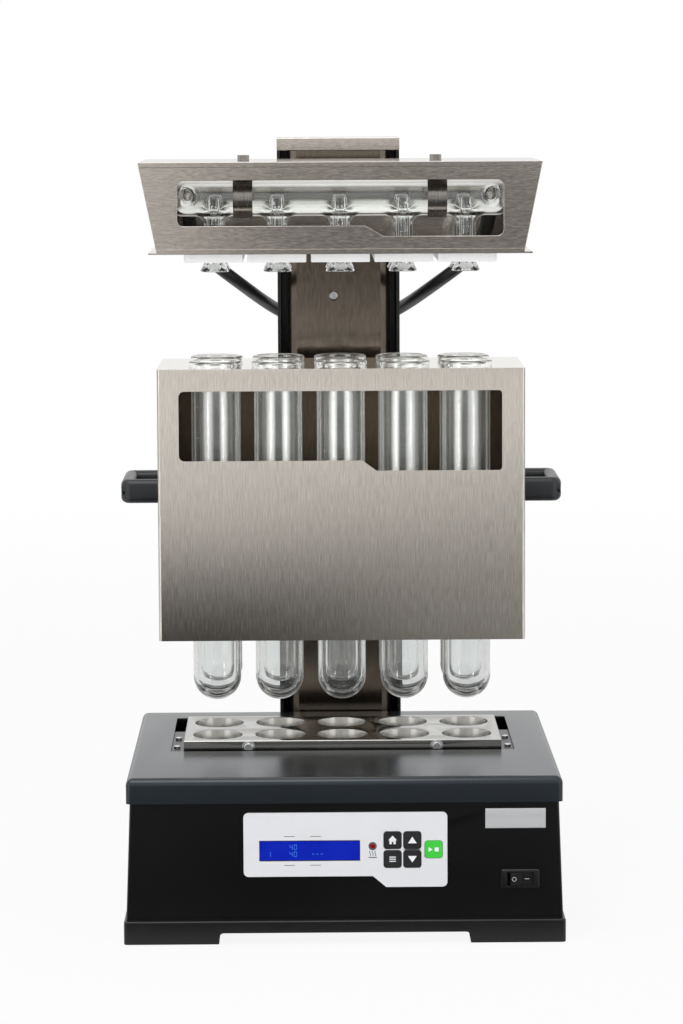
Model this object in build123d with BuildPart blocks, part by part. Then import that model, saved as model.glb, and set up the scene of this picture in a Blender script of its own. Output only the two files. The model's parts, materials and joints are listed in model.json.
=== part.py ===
from build123d import *
import os
from math import pi, radians, tan

# Digestion block: instrument base with a heating block, lift column, tube rack and exhaust hood.
# Millimetres, +Z up, standing on Z = 0, front towards -Y, origin under the middle of the object.

os.makedirs("parts", exist_ok=True)

# Clearances
seat_gap = 0.3
slide_fit = 0.05
sheet = 1.5

# Heating block and its wells
well_pitch = 55.0
well_columns = 5
well_rows = 2
row_depth = 179.0  # middle between the two rows
block_width = 278.4
block_depth = 114.0
block_height = 81.0
block_top = 149.0
tube_play = 0.75
insulation_wall = 10.0
insulation_play = 0.5
inlet_room = 53.5  # from the insulation back to the base's rear

# Overall depth, from the plinth's front to the hose junction behind the column
plinth_lip = 2.0
base_depth = row_depth + block_depth / 2 + insulation_play + insulation_wall + inlet_room
column_depth = 50.0
junction_reach = 38.7
junction_radius = 7.0
junction_depth = base_depth + seat_gap + column_depth + junction_reach
overall_depth = plinth_lip + junction_depth + junction_radius
front = plinth_lip - overall_depth / 2  # front of the top cover, from which depths are counted

# Base
plinth_width = 372.6
plinth_height = 20.0
arch_width = 212.0
arch_height = 9.4
arch_radius = 4.0
housing_step = 2.0  # plinth beside the housing
housing_taper = 4.1  # each side leans in by this much
housing_foot_width = plinth_width - 2 * housing_step
housing_top_width = housing_foot_width - 2 * housing_taper
housing_wall = 2.0
housing_setback = 2.5
cover_overhang = 3.5  # cover beside the housing's upper edge
cover_width = housing_top_width + 2 * cover_overhang
cover_top = 141.3
cover_skirt = 21.4
cover_wall = 2.0
cover_round = 6.0
housing_top = cover_top - cover_wall - 9.0

# Digestion tubes
tube_diameter = 42.0
tube_wall = 2.4
tube_length = 300.0
rim_diameter = 46.5
rim_height = 5.0

# Rack
rack_width = 319.8
rack_depth = 116.0
rack_bottom = 237.7
rack_height = 238.0
rack_top_z = rack_bottom + rack_height
landing_gap = 3.7  # left under the rack when the lift is down
lift_travel = rack_bottom - block_top - landing_gap
rack_lift_off = 20.0

# Hood
hood_bottom = 575.7
hood_height = 79.2
hood_top_z = hood_bottom + hood_height
hood_top_width = 347.8
hood_bottom_width = 317.0
hood_front_depth = row_depth - 69.0
hood_depth = 140.0
hood_lip = 4.4
seal_width = 51.0
seal_height = 7.6

# Glass
manifold_diameter = 34.0
manifold_wall = 2.2
manifold_z = 624.0
manifold_half_length = 147.0
cross_tube_x = 136.5
cross_tube_diameter = 19.5
stem_diameter = 17.0
nozzle_diameter = 12.0

# Column
column_width = 112.2
column_front_depth = base_depth + seat_gap
column_wall = 3.0
column_top = 661.2
cap_height = 11.8
rod_diameter = 10.0
rod_x = 34.0
arm_sheet = 4.0

# Places worked out from the sizes above
rim_underside = rack_top_z + seat_gap
tube_top = rim_underside + rim_height
tube_bottom = tube_top - tube_length
well_diameter = tube_diameter + 2 * tube_play
well_depth = block_top - (tube_bottom - lift_travel) + 1.5
block_bottom = block_top - block_height
rack_front_depth = row_depth - rack_depth / 2
rack_back_depth = row_depth + rack_depth / 2
block_front_depth = row_depth - block_depth / 2
block_back_depth = row_depth + block_depth / 2
seal_bottom = hood_bottom - seat_gap - seal_height
hood_travel = seal_bottom - tube_top - seat_gap
hood_back_depth = hood_front_depth + hood_depth
column_back_depth = column_front_depth + column_depth
column_mid_depth = column_front_depth + column_depth / 2
rod_block_front_depth = column_front_depth + sheet + seat_gap + 6.0
rod_block_back_depth = column_back_depth - column_wall
rod_block_half = 46.0
housing_back_depth = base_depth - cover_wall - 0.5


def face_plane(depth):
    """Upright plane at a depth behind the cover's front, facing the viewer, with X right and Y up."""
    return Plane.XZ.offset(-(front + depth))


def save(builder, name):
    """Labels a finished piece and writes its STEP file."""
    builder.part.label = name
    export_step(builder.part, f"parts/{name}.step")


row_places = GridLocations(well_pitch, well_pitch, well_columns, well_rows)
tube_places = [(p.position.X, front + row_depth + p.position.Y) for p in row_places.locations]


# Base plinth: a low black frame with a wide arch under its front and back
with BuildPart() as base_plinth:
    with BuildSketch(face_plane(base_depth)) as plinth_outline:
        with Locations((0, plinth_height / 2)):
            Rectangle(plinth_width, plinth_height)
        with Locations((0, arch_height / 2)):
            Rectangle(arch_width, arch_height, mode=Mode.SUBTRACT)
        corners = plinth_outline.vertices()
        arch_corners = corners.filter_by_position(Axis.Y, arch_height - 0.1, arch_height + 0.1)
        fillet(arch_corners, arch_radius)
    extrude(amount=base_depth + plinth_lip)
    corner_edges = base_plinth.edges().filter_by(Axis.Z).group_by(Axis.X)
    fillet(corner_edges[0] + corner_edges[-1], 3.0)
    chamfer(base_plinth.faces().sort_by(Axis.Z)[-1].edges(), 1.0)
save(base_plinth, "base_plinth")


# Control area on the housing's front, sizes read along X and Z
overlay_left = -85.1
overlay_right = 86.4
overlay_top = 111.6
overlay_low_left = 57.0
overlay_low_right = 47.6
overlay_step_left = 23.8
overlay_step_right = 34.8
overlay_radius = 4.2
overlay_sheet = 1.2
display_width = 84.3
display_height = 17.1
display_x = -29.45
display_z = 79.05
lens_x = 23.5
lens_z = 82.7
lens_diameter = 4.4
key_size = 14.9
key_travel = 0.4
key_proud = 0.4
key_round = 2.5
key_places = {
    "home_key": (40.3, 87.6),
    "up_key": (56.9, 87.6),
    "set_key": (40.3, 71.5),
    "down_key": (56.9, 71.5),
    "start_key": (74.8, 79.6),
}
board_depth = 12.0
board_sheet = 1.6
switch_inset = 36.45
switch_x = housing_foot_width / 2 - switch_inset
switch_z = 53.8
switch_width = 32.1
switch_height = 16.0
switch_body_width = 28.0
switch_body_height = 13.0
switch_proud = 1.8
rocker_length = 20.6
rocker_height = 10.7
rocker_pivot_depth = 8.5
rocker_rest_angle = 8.0
rocker_pin_radius = 1.5

# Base housing: folded sheet, front and both sides, the sides leaning out to the plinth
with BuildPart() as base_housing:
    housing_depth = housing_back_depth - housing_setback
    with BuildSketch(Plane.XY.offset(plinth_height)):
        with Locations((0, front + housing_setback + housing_depth / 2)):
            Rectangle(housing_foot_width, housing_depth)
    with BuildSketch(Plane.XY.offset(housing_top)):
        with Locations((0, front + housing_setback + housing_depth / 2)):
            Rectangle(housing_top_width, housing_depth)
    loft()
    leaning_edges = base_housing.edges().group_by(Axis.Y)[0].filter_by(Axis.X, reverse=True)
    fillet(leaning_edges, 1.8)
    with BuildSketch(Plane.XY.offset(plinth_height)):
        with Locations((0, front + housing_setback + housing_wall + housing_depth / 2)):
            Rectangle(housing_foot_width - 2 * housing_wall, housing_depth)
    with BuildSketch(Plane.XY.offset(housing_top)):
        with Locations((0, front + housing_setback + housing_wall + housing_depth / 2)):
            Rectangle(housing_top_width - 2 * housing_wall, housing_depth)
    loft(mode=Mode.SUBTRACT)
    with BuildSketch(face_plane(housing_setback)):
        with Locations((display_x, display_z)):
            Rectangle(display_width + 2 * seat_gap, display_height + 2 * seat_gap)
        with Locations((lens_x, lens_z)):
            Circle(lens_diameter / 2 + seat_gap)
        with Locations(*key_places.values()):
            Rectangle(key_size + 2 * seat_gap, key_size + 2 * seat_gap)
        with Locations((switch_x, switch_z)):
            Rectangle(switch_body_width + 2 * seat_gap, switch_body_height + 2 * seat_gap)
    extrude(amount=-housing_wall, mode=Mode.SUBTRACT)
save(base_housing, "base_housing")


# Rear panel: closes the housing's back, with two rows of vent slots and the inlet's cut-out
inlet_inset = 56.3
inlet_x = inlet_inset - housing_foot_width / 2
inlet_z = 62.0
inlet_width = 28.0
inlet_height = 20.0
inlet_depth = 24.0
vent_inset = 66.3
vent_z = 78.0
housing_lean = (housing_foot_width - housing_top_width) / 2 / (housing_top - plinth_height)
panel_low = plinth_height + seat_gap
panel_high = housing_top - seat_gap


def panel_half_width(z):
    """Half the inside width of the housing at a height, less the seat gap."""
    return housing_foot_width / 2 - housing_lean * (z - plinth_height) - housing_wall - seat_gap


with BuildPart() as rear_panel:
    with BuildSketch(face_plane(housing_back_depth)):
        with BuildLine():
            Polyline(
                (-panel_half_width(panel_low), panel_low),
                (panel_half_width(panel_low), panel_low),
                (panel_half_width(panel_high), panel_high),
                (-panel_half_width(panel_high), panel_high),
                close=True,
            )
        make_face()
        with Locations((inlet_x, inlet_z)):
            Rectangle(inlet_width + 2 * seat_gap, inlet_height + 2 * seat_gap, mode=Mode.SUBTRACT)
        with Locations((housing_foot_width / 2 - vent_inset, vent_z)):
            with GridLocations(9.0, 34.0, 8, 2):
                Rectangle(3.5, 26.0, mode=Mode.SUBTRACT)
    extrude(amount=sheet)
save(rear_panel, "rear_panel")


# Mains inlet: flanged socket with three blades, on the rear panel
with BuildPart() as power_inlet:
    with BuildSketch(face_plane(housing_back_depth)):
        with Locations((inlet_x, inlet_z)):
            RectangleRounded(inlet_width + 8.0, inlet_height + 8.0, 3.0)
    extrude(amount=-2.0)
    with BuildSketch(face_plane(housing_back_depth)):
        with Locations((inlet_x, inlet_z)):
            Rectangle(inlet_width, inlet_height)
    extrude(amount=inlet_depth)
    with BuildSketch(face_plane(housing_back_depth + 2.0)):
        with Locations((inlet_x, inlet_z)):
            Rectangle(inlet_width - 4.0, inlet_height - 3.5)
    extrude(amount=17.0, mode=Mode.SUBTRACT)
    with BuildSketch(face_plane(housing_back_depth - 15.0)):
        blades = [(inlet_x - 7.0, inlet_z - 2.0), (inlet_x + 7.0, inlet_z - 2.0), (inlet_x, inlet_z + 3.0)]
        with Locations(*blades):
            Rectangle(2.0, 4.5)
    extrude(amount=-14.0)
save(power_inlet, "power_inlet")


# Top cover: shallow tray with a rounded rim and the cut-out round the heating block
cover_slot = 11.3  # beside the block
cutout_front_depth = 115.0
cutout_back_depth = 267.0
with BuildPart() as cover_hollow:
    with BuildSketch(Plane.XY.offset(cover_top - cover_skirt)):
        with Locations((0, front + base_depth / 2)):
            Rectangle(cover_width - 2 * cover_wall, base_depth - 2 * cover_wall)
    extrude(amount=cover_skirt - cover_wall)
    chamfer(cover_hollow.faces().sort_by(Axis.Z)[-1].edges(), cover_round - cover_wall)
with BuildPart() as top_cover:
    with BuildSketch(Plane.XY.offset(cover_top - cover_skirt)):
        with Locations((0, front + base_depth / 2)):
            RectangleRounded(cover_width, base_depth, 4.0)
    extrude(amount=cover_skirt)
    fillet(top_cover.faces().sort_by(Axis.Z)[-1].edges(), cover_round)
    add(cover_hollow.part, mode=Mode.SUBTRACT)
    with BuildSketch(Plane.XY.offset(cover_top)):
        with Locations((0, front + (cutout_front_depth + cutout_back_depth) / 2)):
            RectangleRounded(block_width + 2 * cover_slot, cutout_back_depth - cutout_front_depth, 1.5)
    extrude(amount=-cover_wall, mode=Mode.SUBTRACT)
save(top_cover, "top_cover")


# Heating block: bare aluminium with ten blind wells and a hole for the probe underneath
front_screw_x = 82.5
front_screw_z = 143.2
screw_radius = 2.0
probe_x = well_pitch / 2
probe_radius = 2.0
probe_reach = 30.0
with BuildPart() as heating_block:
    with BuildSketch(Plane.XY.offset(block_bottom)):
        with Locations((0, front + row_depth)):
            Rectangle(block_width, block_depth)
    extrude(amount=block_height)
    chamfer(heating_block.faces().sort_by(Axis.Z)[-1].edges(), 0.5)
    with BuildSketch(Plane.XY.offset(block_top)):
        with Locations(*tube_places):
            Circle(well_diameter / 2)
    extrude(amount=-well_depth, mode=Mode.SUBTRACT)
    with BuildSketch(face_plane(block_front_depth)):
        with Locations((-front_screw_x, front_screw_z), (front_screw_x, front_screw_z)):
            Circle(screw_radius + slide_fit)
    extrude(amount=-12.0, mode=Mode.SUBTRACT)
    with BuildSketch(Plane.XY.offset(block_bottom)):
        with Locations((probe_x, front + row_depth)):
            Circle(probe_radius + slide_fit)
    extrude(amount=probe_reach, mode=Mode.SUBTRACT)
save(heating_block, "heating_block")


# Heater plate: flat element pressed under the block, with two terminal studs
heater_sheet = 6.0
heater_bottom = block_bottom - heater_sheet
with BuildPart() as heater_plate:
    with BuildSketch(Plane.XY.offset(heater_bottom)):
        with Locations((0, front + row_depth)):
            RectangleRounded(block_width - 16.0, block_depth - 14.0, 6.0)
        with Locations((probe_x, front + row_depth)):
            Circle(probe_radius + 1.0, mode=Mode.SUBTRACT)
    extrude(amount=heater_sheet)
    with BuildSketch(Plane.XY.offset(heater_bottom)):
        with Locations((-40.0, front + row_depth), (-52.0, front + row_depth)):
            Circle(2.5)
    extrude(amount=-14.0)
save(heater_plate, "heater_plate")


# Insulation: fibre trough that carries and surrounds the block inside the base
insulation_top = 124.0
insulation_width = block_width + 2 * insulation_play
insulation_depth = block_depth + 2 * insulation_play
with BuildPart() as insulation:
    with BuildSketch(Plane.XY.offset(plinth_height)):
        with Locations((0, front + row_depth)):
            Rectangle(insulation_width + 2 * insulation_wall, insulation_depth + 2 * insulation_wall)
    extrude(amount=insulation_top - plinth_height)
    with BuildSketch(Plane.XY.offset(insulation_top)):
        with Locations((0, front + row_depth)):
            Rectangle(insulation_width, insulation_depth)
    extrude(amount=heater_bottom - insulation_top, mode=Mode.SUBTRACT)
    with BuildSketch(Plane.XY.offset(heater_bottom)):
        with Locations((probe_x, front + row_depth)):
            Circle(probe_radius + 1.0)
        with Locations((-46.0, front + row_depth)):
            SlotOverall(20.0, 8.0)
    extrude(amount=-30.0, mode=Mode.SUBTRACT)
save(insulation, "insulation")


# Temperature probe: steel sheath up into the block from below
with BuildPart() as temperature_probe:
    with BuildSketch(Plane.XY.offset(heater_bottom - 24.0)):
        with Locations((probe_x, front + row_depth)):
            Circle(probe_radius)
    extrude(amount=24.0 + heater_sheet + probe_reach - 1.0)
    with BuildSketch(Plane.XY.offset(heater_bottom - 29.7)):
        with Locations((probe_x, front + row_depth)):
            Circle(probe_radius + 0.7)
    extrude(amount=5.7)
save(temperature_probe, "temperature_probe")


# Brackets: one angle in the slot at each end of the block, reaching under the cover
bracket_sheet = 2.0
bracket_top = cover_top - cover_wall - seat_gap
bracket_front_depth = row_depth - 53.0
bracket_back_depth = row_depth + 36.0
bracket_screw_depths = (row_depth - 39.0, row_depth - 1.0)
bracket_screw_x = block_width / 2 + 6.4
bracket_reach = 17.0
with BuildPart() as block_brackets:
    with BuildSketch(face_plane(bracket_back_depth)):
        with BuildLine():
            Polyline(
                (block_width / 2, bracket_top - 12.0),
                (block_width / 2 + bracket_sheet, bracket_top - 12.0),
                (block_width / 2 + bracket_sheet, bracket_top - bracket_sheet),
                (block_width / 2 + bracket_reach, bracket_top - bracket_sheet),
                (block_width / 2 + bracket_reach, bracket_top),
                (block_width / 2, bracket_top),
                close=True,
            )
        make_face()
    extrude(amount=bracket_back_depth - bracket_front_depth)
    with BuildSketch(Plane.XY.offset(bracket_top)):
        with Locations(*[(bracket_screw_x, front + d) for d in bracket_screw_depths]):
            Circle(1.5 + slide_fit)
    extrude(amount=-bracket_sheet, mode=Mode.SUBTRACT)
    mirror(about=Plane.YZ)
save(block_brackets, "block_brackets")


# Screws of the block: two with washers in its front face, two in each bracket
with BuildPart() as block_screws:
    with BuildSketch(face_plane(block_front_depth)):
        with Locations((front_screw_x, front_screw_z)):
            Circle(screw_radius)
    extrude(amount=-10.0)
    with BuildSketch(face_plane(block_front_depth)):
        with Locations((front_screw_x, front_screw_z)):
            Circle(5.6)
    extrude(amount=1.0)
    with BuildSketch(face_plane(block_front_depth - 1.0)):
        with Locations((front_screw_x, front_screw_z)):
            Circle(3.8)
    extrude(amount=3.6)
    with BuildSketch(Plane.XY.offset(bracket_top - 6.0)):
        with Locations(*[(bracket_screw_x, front + d) for d in bracket_screw_depths]):
            Circle(1.5)
    extrude(amount=6.0)
    with BuildSketch(Plane.XY.offset(bracket_top)):
        with Locations(*[(bracket_screw_x, front + d) for d in bracket_screw_depths]):
            Circle(2.8)
    extrude(amount=2.2)
    mirror(about=Plane.YZ)
save(block_screws, "block_screws")


# Control overlay: pale plate with a step in its lower edge and openings for display, lens and keys
with BuildPart() as control_overlay:
    with BuildSketch(face_plane(housing_setback)) as overlay_outline:
        with BuildLine():
            Polyline(
                (overlay_left, overlay_low_left),
                (overlay_step_left, overlay_low_left),
                (overlay_step_right, overlay_low_right),
                (overlay_right, overlay_low_right),
                (overlay_right, overlay_top),
                (overlay_left, overlay_top),
                close=True,
            )
        make_face()
        fillet(overlay_outline.vertices().group_by(Axis.X)[0], overlay_radius)
        fillet(overlay_outline.vertices().group_by(Axis.X)[-1], overlay_radius)
        with Locations((display_x, display_z)):
            Rectangle(display_width + 2 * seat_gap, display_height + 2 * seat_gap, mode=Mode.SUBTRACT)
        with Locations((lens_x, lens_z)):
            Circle(lens_diameter / 2 + seat_gap, mode=Mode.SUBTRACT)
        with Locations(*key_places.values()):
            Rectangle(key_size + 2 * seat_gap, key_size + 2 * seat_gap, mode=Mode.SUBTRACT)
    extrude(amount=overlay_sheet)
save(control_overlay, "control_overlay")

overlay_face_depth = housing_setback - overlay_sheet

# Display module, its glass just below the overlay's face
with BuildPart() as display:
    with BuildSketch(face_plane(overlay_face_depth + 0.3)):
        with Locations((display_x, display_z)):
            Rectangle(display_width, display_height)
    extrude(amount=-(board_depth - seat_gap - overlay_face_depth - 0.3))
save(display, "display")

# Status lens: small domed light guide
with BuildPart() as status_lens:
    with BuildSketch(face_plane(overlay_face_depth)):
        with Locations((lens_x, lens_z)):
            Circle(lens_diameter / 2)
    extrude(amount=-(board_depth - seat_gap - overlay_face_depth))
    with BuildSketch(face_plane(overlay_face_depth)):
        with Locations((lens_x, lens_z)):
            Circle(lens_diameter / 2)
    extrude(amount=0.7, taper=35)
save(status_lens, "status_lens")


def make_key(name, place):
    """A square key through overlay and housing, with a plunger that stops short of the board."""
    with BuildPart() as key:
        with BuildSketch(face_plane(overlay_face_depth - key_proud)):
            with Locations(place):
                RectangleRounded(key_size, key_size, key_round)
        extrude(amount=-(overlay_sheet + housing_wall + key_proud))
        with BuildSketch(face_plane(housing_setback + housing_wall)):
            with Locations(place):
                Circle(3.0)
        extrude(amount=-(board_depth - key_travel - 0.1 - housing_setback - housing_wall))
    save(key, name)


for key_name, key_place in key_places.items():
    make_key(key_name, key_place)

# Control board on four posts behind the housing's front wall
board_width = 176.0
board_height = 70.0
board_z = 79.0
with BuildPart() as control_board:
    with BuildSketch(face_plane(board_depth)):
        with Locations((0, board_z)):
            Rectangle(board_width, board_height)
    extrude(amount=-board_sheet)
    with BuildSketch(face_plane(board_depth)):
        with Locations((0, board_z)):
            with GridLocations(board_width - 7.0, board_height - 7.0, 2, 2):
                Rectangle(6.0, 6.0)
    extrude(amount=board_depth - housing_setback - housing_wall)
    with BuildSketch(face_plane(board_depth + board_sheet)):
        with Locations((-50.0, 90.0), (-10.0, 62.0), (52.0, 86.0)):
            Rectangle(24.0, 16.0)
    extrude(amount=-9.0)
save(control_board, "control_board")

# Badge plate, left bare
badge_inset = 40.45
badge_z = 105.65
badge_width = 50.9
badge_height = 16.9
with BuildPart() as badge_plate:
    with BuildSketch(face_plane(housing_setback)):
        with Locations((housing_foot_width / 2 - badge_inset, badge_z)):
            Rectangle(badge_width, badge_height)
    extrude(amount=0.8)
    chamfer(badge_plate.faces().sort_by(Axis.Y)[0].edges(), 0.3)
save(badge_plate, "badge_plate")

# Switch bezel: snap-in frame with a pocket and two pin holes for the rocker
pocket_play = 0.6
with BuildPart() as switch_bezel:
    with BuildSketch(face_plane(housing_setback)):
        with Locations((switch_x, switch_z)):
            RectangleRounded(switch_width, switch_height, 1.5)
    extrude(amount=switch_proud)
    chamfer(switch_bezel.faces().sort_by(Axis.Y)[0].edges(), 0.5)
    with BuildSketch(face_plane(housing_setback)):
        with Locations((switch_x, switch_z)):
            Rectangle(switch_body_width, switch_body_height)
    extrude(amount=-15.0)
    with BuildSketch(face_plane(housing_setback - switch_proud)):
        with Locations((switch_x, switch_z)):
            Rectangle(rocker_length + 2 * pocket_play, rocker_height + pocket_play)
    extrude(amount=-12.0, mode=Mode.SUBTRACT)
    with BuildSketch(Plane.XY.offset(switch_z - switch_body_height / 2)):
        with Locations((switch_x, front + rocker_pivot_depth)):
            Circle(rocker_pin_radius + slide_fit)
    extrude(amount=switch_body_height, mode=Mode.SUBTRACT)
save(switch_bezel, "switch_bezel")

# Rocker: shallow V across its face, tipped to its on side, on two pins
rocker_end = rocker_length / 2
rocker_plane = Plane(
    origin=(switch_x, front + rocker_pivot_depth, switch_z - rocker_height / 2),
    x_dir=(1, 0, 0),
    z_dir=(0, 0, 1),
).rotated((0, 0, rocker_rest_angle))
with BuildPart() as power_rocker:
    with BuildSketch(rocker_plane):
        with BuildLine():
            Polyline(
                (-rocker_end + 0.9, -8.6),
                (0, -7.2),
                (rocker_end - 0.9, -8.6),
                (rocker_end - 0.1, -2.0),
                (4.0, 3.0),
                (-4.0, 3.0),
                (-rocker_end + 0.1, -2.0),
                close=True,
            )
        make_face()
    extrude(amount=rocker_height)
    with BuildSketch(Plane.XY.offset(switch_z - switch_body_height / 2 + 0.4)):
        with Locations((switch_x, front + rocker_pivot_depth)):
            Circle(rocker_pin_radius)
    extrude(amount=switch_body_height - 0.8)
save(power_rocker, "power_rocker")


# Column foot: floor plate with a block that takes the rods, and a tab behind the plinth
foot_sheet = 4.0
foot_block_top = 18.0
column_inner_width = column_width - 2 * column_wall
with BuildPart() as column_foot:
    with BuildSketch(Plane.XY):
        with Locations((0, front + (base_depth + column_back_depth + 5.0) / 2 + seat_gap / 2)):
            Rectangle(column_width + 28.0, column_back_depth + 5.0 - base_depth - seat_gap)
    extrude(amount=foot_sheet)
    with BuildSketch(Plane.XY.offset(foot_sheet)):
        with Locations((0, front + (rod_block_front_depth + rod_block_back_depth) / 2)):
            Rectangle(2 * rod_block_half, rod_block_back_depth - rod_block_front_depth)
    extrude(amount=foot_block_top - foot_sheet)
    with BuildSketch(Plane.XY.offset(foot_block_top)):
        with Locations((-rod_x, front + column_mid_depth), (rod_x, front + column_mid_depth)):
            Circle(rod_diameter / 2 + slide_fit)
    extrude(amount=-8.0, mode=Mode.SUBTRACT)
save(column_foot, "column_foot")

# Column housing: black channel, open to the front
with BuildPart() as column_housing:
    with BuildSketch(Plane.XY.offset(foot_sheet)) as channel:
        with Locations((0, front + (column_front_depth + column_back_depth) / 2)):
            Rectangle(column_width, column_depth)
        fillet(channel.vertices().group_by(Axis.Y)[-1], 3.0)
        with Locations((0, front + (column_front_depth + column_back_depth) / 2 - column_wall)):
            Rectangle(column_inner_width, column_depth, mode=Mode.SUBTRACT)
    extrude(amount=column_top - foot_sheet)
save(column_housing, "column_housing")

# Column front plate: stainless, with bevelled edges that leave a slot at each side for the arms
plate_half = 47.0
plate_flat_half = 38.5
plate_bevel = 6.0
with BuildPart() as column_front:
    with BuildSketch(Plane.XY.offset(foot_sheet)):
        with BuildLine():
            bevels = Polyline(
                (-plate_half, front + column_front_depth + plate_bevel),
                (-plate_flat_half, front + column_front_depth),
                (plate_flat_half, front + column_front_depth),
                (plate_half, front + column_front_depth + plate_bevel),
            )
            offset(amount=sheet, side=Side.LEFT)
        make_face()
    extrude(amount=column_top - foot_sheet)
    column_screw_x = -4.6
    column_screw_z = 528.0
    with BuildSketch(face_plane(column_front_depth)):
        with Locations((column_screw_x, column_screw_z)):
            Circle(2.5 + slide_fit)
    extrude(amount=-sheet, mode=Mode.SUBTRACT)
save(column_front, "column_front")

# Column cap: folded steel lid on the channel
with BuildPart() as column_cap:
    with BuildSketch(Plane.XY.offset(column_top)):
        with Locations((0, front + (column_front_depth + column_back_depth) / 2)):
            Rectangle(column_width + 0.6, column_depth + 0.6)
    extrude(amount=cap_height)
    fillet(column_cap.faces().sort_by(Axis.Z)[-1].edges(), 1.0)
    with BuildSketch(Plane.XY.offset(column_top)):
        with Locations((0, front + (column_front_depth + column_back_depth) / 2)):
            Rectangle(column_width - 2.4, column_depth - 2.4)
    extrude(amount=cap_height - sheet, mode=Mode.SUBTRACT)
save(column_cap, "column_cap")

# Rod blocks: one under the cap, one in mid column behind the button screw
mid_block_bottom = 518.0
mid_block_height = 20.0
top_block_height = 14.0
with BuildPart() as rod_blocks:
    block_middle = front + (rod_block_front_depth + rod_block_back_depth) / 2
    block_length = rod_block_back_depth - rod_block_front_depth
    with BuildSketch(Plane.XY.offset(mid_block_bottom)):
        with Locations((0, block_middle)):
            Rectangle(2 * rod_block_half, block_length)
        with Locations((0, front + rod_block_front_depth - 2.0)):
            Rectangle(2 * plate_flat_half - 12.0, 8.0)
    extrude(amount=mid_block_height)
    with BuildSketch(Plane.XY.offset(column_top - top_block_height)):
        with Locations((0, block_middle)):
            Rectangle(2 * rod_block_half, block_length)
        with Locations((0, front + rod_block_front_depth - 2.0)):
            Rectangle(2 * plate_flat_half - 12.0, 8.0)
    extrude(amount=top_block_height)
    with BuildSketch(Plane.XY.offset(mid_block_bottom)):
        with Locations((-rod_x, front + column_mid_depth), (rod_x, front + column_mid_depth)):
            Circle(rod_diameter / 2 + slide_fit)
    extrude(amount=column_top - mid_block_bottom, mode=Mode.SUBTRACT)
    with BuildSketch(face_plane(column_front_depth)):
        with Locations((column_screw_x, column_screw_z)):
            Circle(2.5 + slide_fit)
    extrude(amount=-14.0, mode=Mode.SUBTRACT)
save(rod_blocks, "rod_blocks")

# Button screw that holds the front plate to the mid block
with BuildPart() as column_screw:
    with BuildSketch(face_plane(column_front_depth)):
        with Locations((column_screw_x, column_screw_z)):
            Circle(4.8)
    extrude(amount=2.8, taper=28)
    with BuildSketch(face_plane(column_front_depth)):
        with Locations((column_screw_x, column_screw_z)):
            Circle(2.5)
    extrude(amount=-12.0)
    with BuildSketch(face_plane(column_front_depth - 2.8)):
        with Locations((column_screw_x, column_screw_z)):
            RegularPolygon(1.7, 6)
    extrude(amount=-1.8, mode=Mode.SUBTRACT)
save(column_screw, "column_screw")

# Guide rods for both carriages
with BuildPart() as guide_rods:
    with BuildSketch(Plane.XY.offset(foot_block_top - 8.0 + seat_gap)):
        with Locations((-rod_x, front + column_mid_depth), (rod_x, front + column_mid_depth)):
            Circle(rod_diameter / 2)
    extrude(amount=column_top - foot_block_top + 8.0 - 2 * seat_gap)
save(guide_rods, "guide_rods")

# Lift actuator: gearmotor housing with an upright tube, and the rod that it pushes
actuator_top = 270.0
push_rod_radius = 7.0
push_rod_bottom = 152.0
lift_block_bottom = 422.0
lift_block_height = 40.0
push_rod_pocket = 8.0
with BuildPart() as lift_actuator:
    with BuildSketch(Plane.XY.offset(foot_block_top)):
        with Locations((0, front + column_mid_depth)):
            RectangleRounded(44.0, 38.0, 5.0)
    extrude(amount=52.0)
    with BuildSketch(Plane.XY.offset(foot_block_top + 52.0)):
        with Locations((0, front + column_mid_depth)):
            Circle(15.0)
    extrude(amount=actuator_top - foot_block_top - 52.0)
    with BuildSketch(Plane.XY.offset(actuator_top)):
        with Locations((0, front + column_mid_depth)):
            Circle(push_rod_radius + slide_fit)
    extrude(amount=-(actuator_top - push_rod_bottom + lift_travel + 5.0), mode=Mode.SUBTRACT)
save(lift_actuator, "lift_actuator")

with BuildPart() as actuator_rod:
    with BuildSketch(Plane.XY.offset(push_rod_bottom)):
        with Locations((0, front + column_mid_depth)):
            Circle(push_rod_radius)
    extrude(amount=lift_block_bottom + push_rod_pocket - slide_fit - push_rod_bottom)
save(actuator_rod, "actuator_rod")

# Lift carriage: block on the rods, two arms out through the slots, a cross bar for the rack's hooks
arm_inner_x = plate_half + 1.1
arm_outer_x = arm_inner_x + arm_sheet
hanger_gap = 3.5
hanger_front_depth = rack_back_depth + hanger_gap
hanger_sheet = 4.0
hanger_bottom = 430.0
hanger_top = 456.0


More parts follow.
